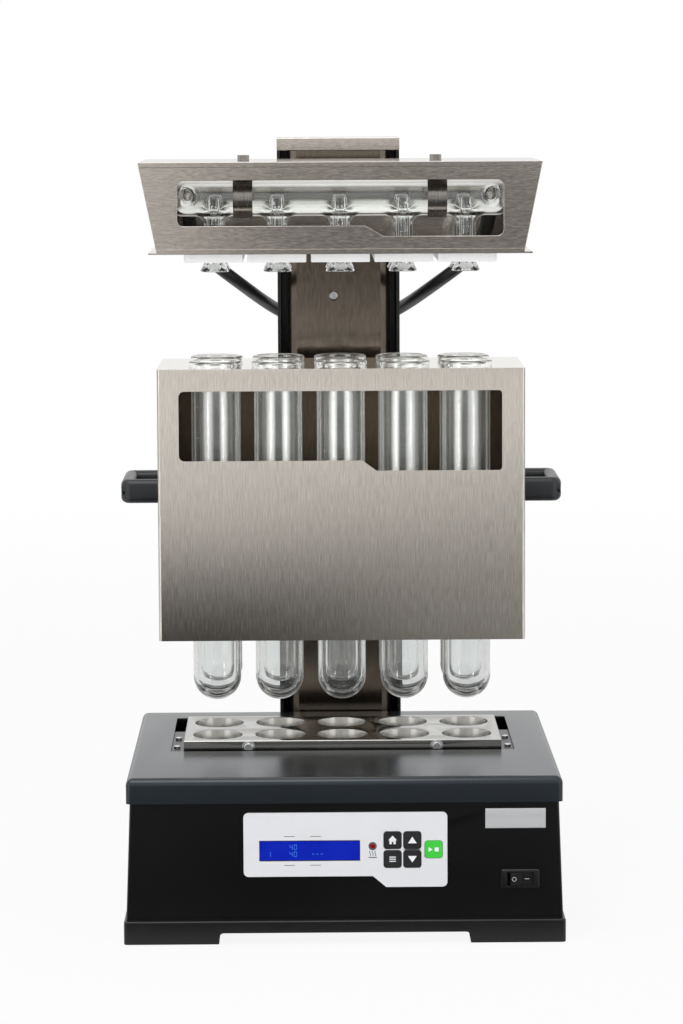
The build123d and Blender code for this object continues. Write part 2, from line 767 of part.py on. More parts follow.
def make_carriage(name, block_low, block_high, arm_low, arm_high, bar_depth, bar_sheet, pocket_depth):
    """A bored block with wings, a pair of forward arms through the slots and a bar across their ends."""
    arm_back_depth = column_mid_depth + 13.0
    arm_middle = front + (bar_depth + arm_back_depth) / 2
    arm_x = (arm_inner_x + arm_outer_x) / 2
    with BuildPart() as carriage:
        with BuildSketch(Plane.XY.offset(block_low)):
            with Locations((0, front + column_mid_depth)):
                Rectangle(2 * rod_block_half, 32.0)
            with Locations((0, front + arm_back_depth - 7.0)):
                Rectangle(2 * arm_outer_x, 14.0)
            with Locations((-rod_x, front + column_mid_depth), (rod_x, front + column_mid_depth)):
                Circle(rod_diameter / 2 + slide_fit, mode=Mode.SUBTRACT)
        extrude(amount=block_high - block_low)
        with BuildSketch(Plane.XY.offset(arm_low)):
            with Locations((arm_x, arm_middle), (-arm_x, arm_middle)):
                Rectangle(arm_sheet, arm_back_depth - bar_depth)
            with Locations((0, front + bar_depth + bar_sheet / 2)):
                Rectangle(2 * arm_outer_x, bar_sheet)
        extrude(amount=arm_high - arm_low)
        if pocket_depth > 0:
            with BuildSketch(Plane.XY.offset(block_low)):
                with Locations((0, front + column_mid_depth)):
                    Circle(push_rod_radius + slide_fit)
            extrude(amount=pocket_depth, mode=Mode.SUBTRACT)
    save(carriage, name)


make_carriage(
    "lift_carriage",
    lift_block_bottom,
    lift_block_bottom + lift_block_height,
    hanger_bottom,
    hanger_top,
    hanger_front_depth,
    hanger_sheet,
    push_rod_pocket,
)

# Hood carriage: same rods and slots, its cross bar against the hood's back
hood_block_top = column_top - top_block_height - 2.0
hood_block_height = hood_block_top - (mid_block_bottom + mid_block_height) - hood_travel - 1.0
hood_arm_bottom = 604.0
hood_arm_height = 38.0
make_carriage(
    "hood_carriage",
    hood_block_top - hood_block_height,
    hood_block_top,
    hood_arm_bottom,
    hood_arm_bottom + hood_arm_height,
    hood_back_depth + seat_gap,
    2.0,
    0,
)


# Rack shell: one folded sheet, front and both sides, with a stepped window
window_side = 18.7
window_side_right = 20.1
window_top = 456.3
window_low_left = 395.5
window_low_right = 386.5
window_step_left = 18.4
window_step_right = 30.6
rack_fold = 2.5
with BuildPart() as rack_shell:
    with BuildSketch(Plane.XY.offset(rack_bottom)) as fold:
        with Locations((0, front + row_depth)):
            Rectangle(rack_width, rack_depth)
        fillet(fold.vertices().group_by(Axis.Y)[0], rack_fold)
        with Locations((0, front + row_depth + sheet)):
            Rectangle(rack_width - 2 * sheet, rack_depth, mode=Mode.SUBTRACT)
    extrude(amount=rack_height - sheet)
    with BuildSketch(face_plane(rack_front_depth)) as window:
        with BuildLine():
            Polyline(
                (-rack_width / 2 + window_side, window_low_left),
                (window_step_left, window_low_left),
                (window_step_right, window_low_right),
                (rack_width / 2 - window_side_right, window_low_right),
                (rack_width / 2 - window_side_right, window_top),
                (-rack_width / 2 + window_side, window_top),
                close=True,
            )
        make_face()
        fillet(window.vertices().group_by(Axis.X)[0], 5.0)
        fillet(window.vertices().group_by(Axis.X)[-1], 3.0)
    extrude(amount=-sheet, mode=Mode.SUBTRACT)
    handle_length = 80.0
    handle_bar = 12.0
    handle_reach = 33.1
    handle_height = 21.0
    handle_z = 367.0
    handle_screw_spacing = handle_length - handle_bar
    with BuildSketch(Plane.YZ.offset(-rack_width / 2)):
        with Locations((front + row_depth, handle_z)):
            with GridLocations(handle_screw_spacing, 1, 2, 1):
                Circle(screw_radius + slide_fit)
    extrude(amount=rack_width, mode=Mode.SUBTRACT)
save(rack_shell, "rack_shell")

# Rack back: plate between the sides, with two hooks for the carriage's cross bar
hook_centre_x = 28.0
hook_width = 24.0
hook_sheet = 2.0
hook_lip = 12.0
with BuildPart() as rack_back:
    with BuildSketch(face_plane(rack_back_depth)):
        with Locations((0, rack_bottom + (rack_height - sheet) / 2)):
            Rectangle(rack_width - 2 * sheet - 2 * seat_gap, rack_height - sheet)
    extrude(amount=sheet)
    with BuildSketch(Plane.YZ.offset(hook_centre_x - hook_width / 2)):
        hook_low = hanger_top + seat_gap
        hook_far = front + hanger_front_depth + hanger_sheet + 2.0 + hook_sheet
        with BuildLine():
            Polyline(
                (front + rack_back_depth, hook_low),
                (hook_far - hook_sheet, hook_low),
                (hook_far - hook_sheet, hook_low - hook_lip),
                (hook_far, hook_low - hook_lip),
                (hook_far, hook_low + hook_sheet),
                (front + rack_back_depth, hook_low + hook_sheet),
                close=True,
            )
        make_face()
    extrude(amount=hook_width)
    mirror(about=Plane.YZ)
save(rack_back, "rack_back")

# Rack top plate: the tubes hang in it by their rims
with BuildPart() as rack_top:
    with BuildSketch(Plane.XY.offset(rack_top_z - sheet)):
        with Locations((0, front + row_depth)):
            RectangleRounded(rack_width, rack_depth, 2.0)
        with Locations(*tube_places):
            Circle(well_diameter / 2, mode=Mode.SUBTRACT)
    extrude(amount=sheet)
save(rack_top, "rack_top")

# Rack guide plate: lower plate with a long slot for each row and end flanges, steadies the tubes
guide_z = rack_bottom + 14.0
guide_play = 1.2
guide_flange = 10.0
with BuildPart() as rack_guide:
    guide_width = rack_width - 2 * sheet - 2 * seat_gap
    guide_depth = rack_depth - 2 * sheet - 2 * seat_gap
    with BuildSketch(Plane.XY.offset(guide_z)):
        with Locations((0, front + row_depth)):
            Rectangle(guide_width, guide_depth)
            with GridLocations(1, well_pitch, 1, well_rows):
                slot_length = (well_columns - 1) * well_pitch + tube_diameter + 2 * guide_play
                Rectangle(slot_length, tube_diameter + 2 * guide_play, mode=Mode.SUBTRACT)
    extrude(amount=sheet)
    with BuildSketch(Plane.XY.offset(guide_z - guide_flange)):
        with Locations((0, front + row_depth)):
            with GridLocations(guide_width - sheet, 1, 2, 1):
                Rectangle(sheet, guide_depth)
    extrude(amount=guide_flange)
save(rack_guide, "rack_guide")

# Rack handles: moulded bows, one on each side, with counterbored screws
counterbore_depth = 4.5
with BuildPart() as rack_handles:
    with BuildSketch(Plane.XY.offset(handle_z - handle_height / 2)) as bow:
        with Locations((rack_width / 2 + handle_reach / 2, front + row_depth)):
            Rectangle(handle_reach, handle_length)
        fillet(bow.vertices().group_by(Axis.X)[-1], 9.0)
        with Locations((rack_width / 2 + (handle_reach - handle_bar) / 2, front + row_depth)):
            Rectangle(handle_reach - handle_bar, handle_length - 2 * handle_bar, mode=Mode.SUBTRACT)
    extrude(amount=handle_height)
    with BuildSketch(Plane.YZ.offset(rack_width / 2 + handle_reach)):
        with Locations((front + row_depth, handle_z)):
            with GridLocations(handle_screw_spacing, 1, 2, 1):
                Circle(4.4)
    extrude(amount=-counterbore_depth, mode=Mode.SUBTRACT)
    with BuildSketch(Plane.YZ.offset(rack_width / 2 + handle_reach)):
        with Locations((front + row_depth, handle_z)):
            with GridLocations(handle_screw_spacing, 1, 2, 1):
                Circle(screw_radius + slide_fit)
    extrude(amount=-handle_reach, mode=Mode.SUBTRACT)
    mirror(about=Plane.YZ)
save(rack_handles, "rack_handles")

with BuildPart() as handle_screws:
    with BuildSketch(Plane.YZ.offset(rack_width / 2 + handle_reach - counterbore_depth)):
        with Locations((front + row_depth, handle_z)):
            with GridLocations(handle_screw_spacing, 1, 2, 1):
                Circle(3.6)
    extrude(amount=3.2)
    with BuildSketch(Plane.YZ.offset(rack_width / 2 - 5.0)):
        with Locations((front + row_depth, handle_z)):
            with GridLocations(handle_screw_spacing, 1, 2, 1):
                Circle(screw_radius)
    extrude(amount=5.0 + handle_reach - counterbore_depth)
    mirror(about=Plane.YZ)
save(handle_screws, "handle_screws")


# Digestion tubes: long glass tubes with a thick round bottom and a beaded rim
outer_radius = tube_diameter / 2
inner_radius = outer_radius - tube_wall
bottom_glass = outer_radius * 0.6


def make_tube(name, place):
    """One digestion tube, turned about its own axis."""
    with BuildPart() as tube:
        with BuildSketch(Plane(origin=(place[0], place[1], tube_bottom), x_dir=(1, 0, 0), z_dir=(0, -1, 0))):
            with BuildLine():
                Polyline(
                    (0, 0),
                    (outer_radius * 0.5, 0),
                    (outer_radius * 0.9, outer_radius * 0.25),
                    (outer_radius, outer_radius * 0.6),
                    (outer_radius, tube_length - rim_height),
                    (rim_diameter / 2, tube_length - rim_height),
                    (rim_diameter / 2, tube_length),
                    (inner_radius, tube_length),
                    (inner_radius, bottom_glass),
                    (0, bottom_glass),
                    close=True,
                )
            make_face()
        revolve(axis=Axis((place[0], place[1], 0), (0, 0, 1)))
    save(tube, name)


for tube_number, tube_place in enumerate(tube_places, start=1):
    make_tube(f"tube_{tube_number}", tube_place)


# Hood shell: trapezoid front and leaning sides, folded from one sheet, with a stepped window
hood_window_side = 140.4
hood_window_top = 639.2
hood_window_low_left = 600.0
hood_window_low_right = 590.9
hood_step_left = 21.3
hood_step_right = 37.0
with BuildPart() as hood_shell:
    with BuildSketch(face_plane(hood_back_depth)):
        with BuildLine():
            Polyline(
                (-hood_bottom_width / 2, hood_bottom + sheet),
                (hood_bottom_width / 2, hood_bottom + sheet),
                (hood_top_width / 2, hood_top_z - sheet),
                (-hood_top_width / 2, hood_top_z - sheet),
                close=True,
            )
        make_face()
    extrude(amount=hood_depth)
    hollow = hood_shell.faces().sort_by(Axis.Z)
    offset(amount=-sheet, openings=[hollow[0], hollow[-1], hood_shell.faces().sort_by(Axis.Y)[-1]])
    with BuildSketch(face_plane(hood_front_depth)) as hood_window:
        with BuildLine():
            Polyline(
                (-hood_window_side, hood_window_low_left),
                (hood_step_left, hood_window_low_left),
                (hood_step_right, hood_window_low_right),
                (hood_window_side, hood_window_low_right),
                (hood_window_side, hood_window_top),
                (-hood_window_side, hood_window_top),
                close=True,
            )
        make_face()
        fillet(hood_window.vertices().group_by(Axis.X)[0], 5.5)
        fillet(hood_window.vertices().group_by(Axis.X)[-1], 5.5)
    extrude(amount=-sheet, mode=Mode.SUBTRACT)
save(hood_shell, "hood_shell")

# Hood top: plate with a lip turned down over the front
clip_x = 84.5
bolt_radius = 2.5
with BuildPart() as hood_top:
    with BuildSketch(Plane.XY.offset(hood_top_z - sheet)):
        with Locations((0, front + hood_front_depth + hood_depth / 2 - 0.5)):
            Rectangle(hood_top_width, hood_depth + 1.0)
        with Locations((-clip_x, front + row_depth), (clip_x, front + row_depth)):
            Circle(bolt_radius + slide_fit, mode=Mode.SUBTRACT)
    extrude(amount=sheet)
    with BuildSketch(face_plane(hood_front_depth)):
        with Locations((0, hood_top_z - hood_lip / 2)):
            Rectangle(hood_top_width - 2.0, hood_lip)
    extrude(amount=1.0)
save(hood_top, "hood_top")

# Hood back: plate that closes the shell and bears on the hood carriage
with BuildPart() as hood_back:
    hood_slope = (hood_top_width - hood_bottom_width) / 2 / (hood_height - 2 * sheet)
    side_sheet = sheet * (1 + hood_slope**2) ** 0.5
    with BuildSketch(face_plane(hood_back_depth)):
        with BuildLine():
            Polyline(
                (-hood_bottom_width / 2 + side_sheet + seat_gap, hood_bottom + sheet),
                (hood_bottom_width / 2 - side_sheet - seat_gap, hood_bottom + sheet),
                (hood_top_width / 2 - side_sheet - seat_gap, hood_top_z - sheet),
                (-hood_top_width / 2 + side_sheet + seat_gap, hood_top_z - sheet),
                close=True,
            )
        make_face()
    extrude(amount=sheet)
save(hood_back, "hood_back")

# Hood base: plate that carries the seals, with a lip up over the front and ends that stand proud
hood_base_back_depth = row_depth + well_pitch / 2 + 24.0
hood_base_width = 331.0
with BuildPart() as hood_base:
    with BuildSketch(Plane.XY.offset(hood_bottom)):
        with Locations((0, front + (hood_front_depth - 1.0 + hood_base_back_depth) / 2)):
            Rectangle(hood_base_width, hood_base_back_depth - hood_front_depth + 1.0)
        with Locations(*tube_places):
            Circle(nozzle_diameter / 2 + 1.0, mode=Mode.SUBTRACT)
    extrude(amount=sheet)
    with BuildSketch(face_plane(hood_front_depth)):
        with Locations((0, hood_bottom + hood_lip / 2)):
            Rectangle(hood_bottom_width, hood_lip)
    extrude(amount=1.0)
save(hood_base, "hood_base")

# Route of the right exhaust hose, from the manifold's spigot back past the column
hose_diameter = 11.5
hose_points = [
    (cross_tube_x - 0.2, row_depth + 56.0, manifold_z - 13.0),
    (cross_tube_x - 3.0, row_depth + 56.4, manifold_z - 40.0),
    (cross_tube_x - 22.0, row_depth + 63.5, manifold_z - 62.0),
    (column_width / 2 + 35.9, column_front_depth - 24.3, manifold_z - 81.5),
    (column_width / 2 + 9.9, junction_depth - 32.0, manifold_z - 107.0),
    (column_width / 2 - 9.1, junction_depth - 11.5, manifold_z - 119.0),
    (column_width / 2 - 34.1, junction_depth - 5.1, manifold_z - 132.6),
]
hose_route = [Vector(x, front + depth, z) for x, depth, z in hose_points]
hose_radii = []
for before, corner, after in zip(hose_route, hose_route[1:], hose_route[2:]):
    turn = (corner - before).get_angle(after - corner)
    shorter = min((corner - before).length, (after - corner).length)
    hose_radii.append(0.45 * shorter / tan(radians(turn / 2)))
print("hose bend radii", [round(r, 1) for r in hose_radii])

# Glass manifold: two closed tubes joined by cross tubes, a flared stem over every funnel
manifold_radius = manifold_diameter / 2
manifold_bore = manifold_radius - manifold_wall
stem_radius = stem_diameter / 2
stem_bore = stem_radius - 1.8
stem_bottom = hood_bottom + sheet + seat_gap
cross_radius = cross_tube_diameter / 2
cross_back_depth = 241.0
flare_height = 9.0
flare_width = 4.5
spigot_radius = 4.4
row_depths = [row_depth - well_pitch / 2, row_depth + well_pitch / 2]
row_centres = [(front + d, manifold_z) for d in row_depths]
flare_top = manifold_z - (manifold_radius**2 - (stem_radius + flare_width) ** 2) ** 0.5
spigot_planes = []
for side in (1, -1):
    end = Vector(side * hose_route[0].X, hose_route[0].Y, hose_route[0].Z)
    rise = hose_route[0] - hose_route[1]
    spigot_planes.append(Plane(origin=end, z_dir=(side * rise.X, rise.Y, rise.Z)).offset(seat_gap))
with BuildPart() as glass_manifold:
    with BuildSketch(Plane.YZ.offset(-manifold_half_length)):
        with Locations(*row_centres):
            Circle(manifold_radius)
    extrude(amount=2 * manifold_half_length)
    with BuildSketch(face_plane(cross_back_depth)):
        with Locations((-cross_tube_x, manifold_z), (cross_tube_x, manifold_z)):
            Circle(cross_radius)
    extrude(amount=cross_back_depth - row_depths[0])
    with BuildSketch(Plane.XY.offset(stem_bottom)):
        with Locations(*tube_places):
            Circle(stem_radius)
    extrude(amount=manifold_z - manifold_bore - 2.0 - stem_bottom)
    for x, y in tube_places:
        with BuildSketch(Plane(origin=(x, y, flare_top), x_dir=(1, 0, 0), z_dir=(0, -1, 0))):
            with BuildLine():
                flare_rim = (stem_radius + flare_width, 0)
                Polyline((0, -flare_height), (stem_radius, -flare_height), flare_rim, (0, 0))
                Line((0, 0), (0, -flare_height))
            make_face()
        revolve(axis=Axis((x, y, 0), (0, 0, 1)))
    for plane in spigot_planes:
        with BuildSketch(plane):
            Circle(spigot_radius)
        extrude(amount=6.0)
    with BuildSketch(Plane.YZ.offset(-manifold_half_length + manifold_wall)):
        with Locations(*row_centres):
            Circle(manifold_bore)
    extrude(amount=2 * (manifold_half_length - manifold_wall), mode=Mode.SUBTRACT)
    with BuildSketch(face_plane(cross_back_depth - 2.0)):
        with Locations((-cross_tube_x, manifold_z), (cross_tube_x, manifold_z)):
            Circle(cross_radius - 2.0)
    extrude(amount=cross_back_depth - 2.0 - row_depths[0], mode=Mode.SUBTRACT)
    with BuildSketch(Plane.XY.offset(stem_bottom)):
        with Locations(*tube_places):
            Circle(stem_bore)
    extrude(amount=manifold_z - stem_bottom, mode=Mode.SUBTRACT)
    for plane in spigot_planes:
        with BuildSketch(plane):
            Circle(spigot_radius - 1.4)
        extrude(amount=12.0, mode=Mode.SUBTRACT)
save(glass_manifold, "glass_manifold")

# Manifold clips: steel straps round both tubes, each hung from its own bolt through the hood's top
strap_width = 17.0
strap_inner = manifold_radius + seat_gap
strap_outer = strap_inner + sheet
strap_top = manifold_z + strap_outer
with BuildPart() as manifold_clips:
    with BuildSketch(Plane.YZ.offset(clip_x - strap_width / 2)):
        with Locations(*row_centres):
            Circle(strap_outer)
            Circle(strap_inner, mode=Mode.SUBTRACT)
        with Locations((front + row_depth, manifold_z - strap_outer / 2 + strap_inner / 2 - 0.5)):
            Rectangle(well_pitch, strap_outer + strap_inner + 1.0, mode=Mode.SUBTRACT)
        with Locations((front + row_depth, strap_top - sheet / 2)):
            Rectangle(well_pitch, sheet)
    extrude(amount=strap_width)
    with BuildSketch(Plane.XY.offset(strap_top - sheet)):
        with Locations((clip_x, front + row_depth)):
            Circle(bolt_radius + slide_fit)
    extrude(amount=sheet, mode=Mode.SUBTRACT)
    with BuildSketch(Plane.XY.offset(strap_top - sheet - 4.0)):
        with Locations((clip_x, front + row_depth)):
            Circle(bolt_radius)
    extrude(amount=hood_top_z + 1.0 - strap_top + sheet + 4.0)
    with BuildSketch(Plane.XY.offset(strap_top + seat_gap)):
        with Locations((clip_x, front + row_depth)):
            Circle(4.5)
    extrude(amount=hood_top_z - sheet - strap_top - seat_gap)
    with BuildSketch(Plane.XY.offset(hood_top_z)):
        with Locations((clip_x, front + row_depth)):
            RegularPolygon(5.2, 6)
    extrude(amount=4.8)
    mirror(about=Plane.YZ)
save(manifold_clips, "manifold_clips")

# Seals: square white pads under the hood's base that close the tubes' mouths
with BuildPart() as tube_seals:
    with BuildSketch(Plane.XY.offset(seal_bottom)):
        with Locations(*tube_places):
            Rectangle(seal_width, seal_width)
            Circle(nozzle_diameter / 2 + 0.2, mode=Mode.SUBTRACT)
    extrude(amount=seal_height)
save(tube_seals, "tube_seals")

# Funnels: glass bells under the seals with a nozzle up into the manifold
bell_radius = 12.6
bell_neck_radius = 9.0
bell_height = 8.5
bell_wall = 1.6
nozzle_top = manifold_z - 1.0
nozzle_radius = nozzle_diameter / 2
with BuildPart() as glass_funnels:
    for x, y in tube_places:
        with BuildSketch(Plane(origin=(x, y, 0), x_dir=(1, 0, 0), z_dir=(0, -1, 0))):
            with BuildLine():
                bell_top = seal_bottom - seat_gap
                Polyline(
                    (bell_radius, bell_top - bell_height),
                    (bell_neck_radius, bell_top),
                    (nozzle_radius, bell_top),
                    (nozzle_radius, nozzle_top),
                    (nozzle_radius - bell_wall, nozzle_top),
                    (nozzle_radius - bell_wall, bell_top - bell_height),
                    close=True,
                )
            make_face()
        revolve(axis=Axis((x, y, 0), (0, 0, 1)))
save(glass_funnels, "glass_funnels")


# Exhaust hoses: the right one along its route, the left one its mirror image
with BuildPart() as exhaust_hoses:
    with BuildLine() as hose_line:
        FilletPolyline(*hose_route, radius=hose_radii)
    with BuildSketch(Plane(origin=hose_route[0], z_dir=hose_route[1] - hose_route[0])):
        Circle(hose_diameter / 2)
    sweep()
    mirror(about=Plane.YZ)
hose_length = hose_line.wires()[0].length
hose_volume = 2 * hose_length * pi * (hose_diameter / 2) ** 2
hose_ratio = exhaust_hoses.part.volume / hose_volume
print("hose length", round(hose_length, 1), "volume ratio", round(hose_ratio, 4))
save(exhaust_hoses, "exhaust_hoses")

# Hose junction: Y piece on a bracket from the column's back, with a spigot for the scrubber's hose
outlet_radius = 4.5
hose_end = hose_route[-1]
hose_direction = (hose_route[-1] - hose_route[-2]).normalized()
junction_centre = hose_end + hose_direction * (hose_end.X / -hose_direction.X)
junction_arm = hose_end + hose_direction * seat_gap
with BuildPart() as hose_junction:
    with BuildSketch(Plane.XY.offset(junction_centre.Z - 12.0)):
        with Locations((0, front + junction_depth)):
            Circle(junction_radius)
    extrude(amount=22.0)
    for side in (1, -1):
        arm_end = Vector(side * junction_arm.X, junction_arm.Y, junction_arm.Z)
        with BuildSketch(Plane(origin=arm_end, z_dir=junction_centre - arm_end)):
            Circle(5.0)
        extrude(amount=(junction_centre - arm_end).length)
    with BuildSketch(Plane.XY.offset(junction_centre.Z - 12.0)):
        with Locations((0, front + junction_depth)):
            Circle(outlet_radius)
    extrude(amount=-22.0)
    with BuildSketch(Plane.XY.offset(junction_centre.Z - 5.0)):
        with Locations((0, front + (junction_depth + column_back_depth) / 2)):
            Rectangle(9.0, junction_depth - column_back_depth)
    extrude(amount=10.0)
    with BuildSketch(Plane.XY.offset(junction_centre.Z - 12.0)):
        with Locations((0, front + column_back_depth + 1.0)):
            Rectangle(26.0, 2.0)
    extrude(amount=24.0)
save(hose_junction, "hose_junction")

print("lift travel", lift_travel, "hood travel", round(hood_travel, 2), "well depth", well_depth)
print("tube bottom", tube_bottom, "tube top", tube_top, "hood block height", round(hood_block_height, 2))
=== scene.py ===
import json
import math

import bmesh
import bpy
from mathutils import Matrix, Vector
from mathutils.bvhtree import BVHTree

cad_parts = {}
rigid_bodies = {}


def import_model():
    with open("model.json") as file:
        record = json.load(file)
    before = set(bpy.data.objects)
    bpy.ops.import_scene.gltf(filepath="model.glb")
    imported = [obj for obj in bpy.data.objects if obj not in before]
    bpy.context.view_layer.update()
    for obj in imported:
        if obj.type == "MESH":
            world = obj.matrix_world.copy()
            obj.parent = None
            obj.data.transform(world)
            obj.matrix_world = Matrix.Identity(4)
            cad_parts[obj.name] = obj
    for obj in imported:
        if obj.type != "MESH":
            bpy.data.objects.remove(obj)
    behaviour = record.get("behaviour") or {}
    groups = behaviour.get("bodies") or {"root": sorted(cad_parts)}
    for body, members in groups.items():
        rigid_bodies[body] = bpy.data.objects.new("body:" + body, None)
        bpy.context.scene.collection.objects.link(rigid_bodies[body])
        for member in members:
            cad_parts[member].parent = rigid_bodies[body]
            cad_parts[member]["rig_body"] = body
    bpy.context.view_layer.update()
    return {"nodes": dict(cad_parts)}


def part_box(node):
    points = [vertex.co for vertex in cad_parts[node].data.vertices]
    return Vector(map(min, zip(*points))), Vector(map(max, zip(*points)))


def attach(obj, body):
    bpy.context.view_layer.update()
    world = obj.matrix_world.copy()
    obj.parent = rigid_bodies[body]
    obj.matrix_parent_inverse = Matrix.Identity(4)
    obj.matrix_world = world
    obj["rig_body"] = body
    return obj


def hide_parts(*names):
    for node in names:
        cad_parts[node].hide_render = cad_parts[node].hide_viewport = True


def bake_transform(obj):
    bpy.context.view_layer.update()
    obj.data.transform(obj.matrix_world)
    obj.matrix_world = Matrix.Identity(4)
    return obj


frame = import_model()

# Digestion block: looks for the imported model. Metres, +Z up, front towards -Y.
mm = 0.001
scene = bpy.context.scene
cadNodes = frame["nodes"]


# Shader maths

class Wire:
    # one socket of a node tree, so that shader maths reads as plain expressions
    def __init__(self, finish, socket):
        self.finish = finish
        self.socket = socket

    def do(self, operation, *values):
        return self.finish.add("ShaderNodeMath", {"operation": operation}, values)

    def __add__(self, other):
        return self.do("ADD", self, other)

    def __radd__(self, other):
        return self.do("ADD", other, self)

    def __sub__(self, other):
        return self.do("SUBTRACT", self, other)

    def __rsub__(self, other):
        return self.do("SUBTRACT", other, self)

    def __mul__(self, other):
        return self.do("MULTIPLY", self, other)

    def __rmul__(self, other):
        return self.do("MULTIPLY", other, self)

    def least(self, other):
        return self.do("MINIMUM", self, other)

    def step(self, low, high):
        return self.finish.add("ShaderNodeMapRange", {"interpolation_type": "SMOOTHSTEP"},
                               {"Value": self, "From Min": low, "From Max": high})


class Finish:
    # a material, or the world, and the means to wire it
    def __init__(self, name, world=None):
        self.material = world or bpy.data.materials.new(name)
        self.material.use_nodes = True
        self.tree = self.material.node_tree
        self.tree.nodes.clear()

    def add(self, kind, settings=None, sockets=(), out=0):
        node = self.tree.nodes.new(kind)
        for key, value in (settings or {}).items():
            if key == "stops":
                ramp = node.color_ramp
                while len(ramp.elements) < len(value):
                    ramp.elements.new(1.0)
                for element, (position, colour) in zip(ramp.elements, value):
                    element.position = position
                    element.color = (*colour, 1.0)
            else:
                setattr(node, key, value)
        pairs = sockets.items() if isinstance(sockets, dict) else enumerate(sockets)
        for key, value in pairs:
            if isinstance(value, Wire):
                self.tree.links.new(value.socket, node.inputs[key])
            else:
                node.inputs[key].default_value = value
        return Wire(self, node.outputs[out]) if node.outputs else node

    def place(self):
        return self.add("ShaderNodeTexCoord", out="Object")

    def axis(self, letter):
        return self.add("ShaderNodeSeparateXYZ", {}, {0: self.place()}, out=letter)

    def noise(self, scale, detail=3.0, stretch=(1.0, 1.0, 1.0), roughness=0.5):
        where = self.add("ShaderNodeMapping", {}, {"Vector": self.place(), "Scale": stretch})
        return self.add("ShaderNodeTexNoise", {}, {"Vector": where, "Scale": scale, "Detail": detail,
                                                   "Roughness": roughness})

    def tint(self, factor, first, second):
        return self.add("ShaderNodeMix", {"data_type": "RGBA"}, {0: factor, 6: first, 7: second}, out=2)

    def bump(self, height, strength, distance):
        return self.add("ShaderNodeBump", {}, {"Height": height, "Strength": strength, "Distance": distance})

    def skin(self, **sockets):
        named = {key.replace("_", " "): value for key, value in sockets.items()}
        shader = self.add("ShaderNodeBsdfPrincipled", {}, named)
        self.add("ShaderNodeOutputMaterial", {}, {"Surface": shader})
        return self.material


def rgb(red, green, blue):
    # sRGB, 0 to 255, as linear colour with alpha
    def linear(value):
        value /= 255
        return value / 12.92 if value <= 0.04045 else ((value + 0.055) / 1.055) ** 2.4
    return (linear(red), linear(green), linear(blue), 1.0)


# Camera

cameraSettings = {"lens": 114.86, "place": (-0.0299, -2.8972, 0.7163), "turn": (1.47947, 0.00451, -0.01113),
                  "shift": (0.0, -0.12), "sensor": 36.0}
cameraData = bpy.data.cameras.new("camera")
cameraData.lens = cameraSettings["lens"]
cameraData.sensor_width = cameraSettings["sensor"]
cameraData.shift_x, cameraData.shift_y = cameraSettings["shift"]
camera = bpy.data.objects.new("camera", cameraData)
camera.location = cameraSettings["place"]
camera.rotation_euler = cameraSettings["turn"]
scene.collection.objects.link(camera)
scene.camera = camera
scene.view_settings.view_transform = "Standard"
print("camera ready")


# Pieces

columns = (-110.0, -55.0, 0.0, 55.0, 110.0)  # wells, tubes and stems stand at these places, in millimetres
rows = (-45.5, 9.5)
places = [(x, y) for x in columns for y in rows]


def link(name, mesh, finish, body, nodes=(), smooth=True):
    piece = bpy.data.objects.new(name, mesh)
    scene.collection.objects.link(piece)
    mesh.materials.clear()
    mesh.materials.append(finish)
    mesh.shade_smooth() if smooth else mesh.shade_flat()
    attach(piece, body)
    if nodes:
        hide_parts(*nodes)
    return piece


def meshOf(form, name, outward=True):
    if outward:
        bmesh.ops.recalc_face_normals(form, faces=form.faces)
    mesh = bpy.data.meshes.new(name)
    form.to_mesh(mesh)
    form.free()
    return mesh


def lathe(form, outline, centre, axis=(0, 0, 1), steps=64):
    # turns an outline of (radius, distance along the axis) points, in millimetres
    axis = Vector(axis).normalized()
    out = axis.orthogonal().normalized()
    corners = [form.verts.new((Vector(centre) + out * r + axis * along) * mm) for r, along in outline]
    edges = [form.edges.new(pair) for pair in zip(corners, corners[1:])]
    bmesh.ops.spin(form, geom=corners + edges, cent=Vector(centre) * mm, axis=axis, angle=2 * math.pi,
                   steps=steps, use_merge=True)
    bmesh.ops.remove_doubles(form, verts=form.verts, dist=1e-6)


def arc(centre, radius, start, end, steps):
    # points on an arc in the (radius, distance) plane, angles in degrees
    points = []
    for index in range(steps + 1):
        angle = math.radians(start + (end - start) * index / steps)
        points.append((centre[0] + radius * math.cos(angle), centre[1] + radius * math.sin(angle)))
    return points


# Exhaust hoses, first because the cords' room is tested with the camera

def rubberFinish():
    f = Finish("hose_rubber")
    grain = f.noise(900.0, 2.0)
    wear = f.noise(60.0, 3.0)
    return f.skin(Base_Color=f.tint(wear, rgb(14, 14, 15), rgb(24, 24, 26)), Roughness=0.3 + wear * 0.16,
                  Normal=f.bump(grain, 0.12, 0.0001), Specular_IOR_Level=0.6)


hoseSettings = {
    "diameter": 11.5 * mm,
    "length": 247.3 * mm,
    "route": [(0.1363, 0.038, 0.611), (0.1335, 0.0384, 0.584), (0.1145, 0.0455, 0.562),
              (0.092, 0.079, 0.5425), (0.066, 0.160, 0.517), (0.047, 0.1805, 0.505), (0.022, 0.1869, 0.4914)],
}
hoseRubber = rubberFinish()


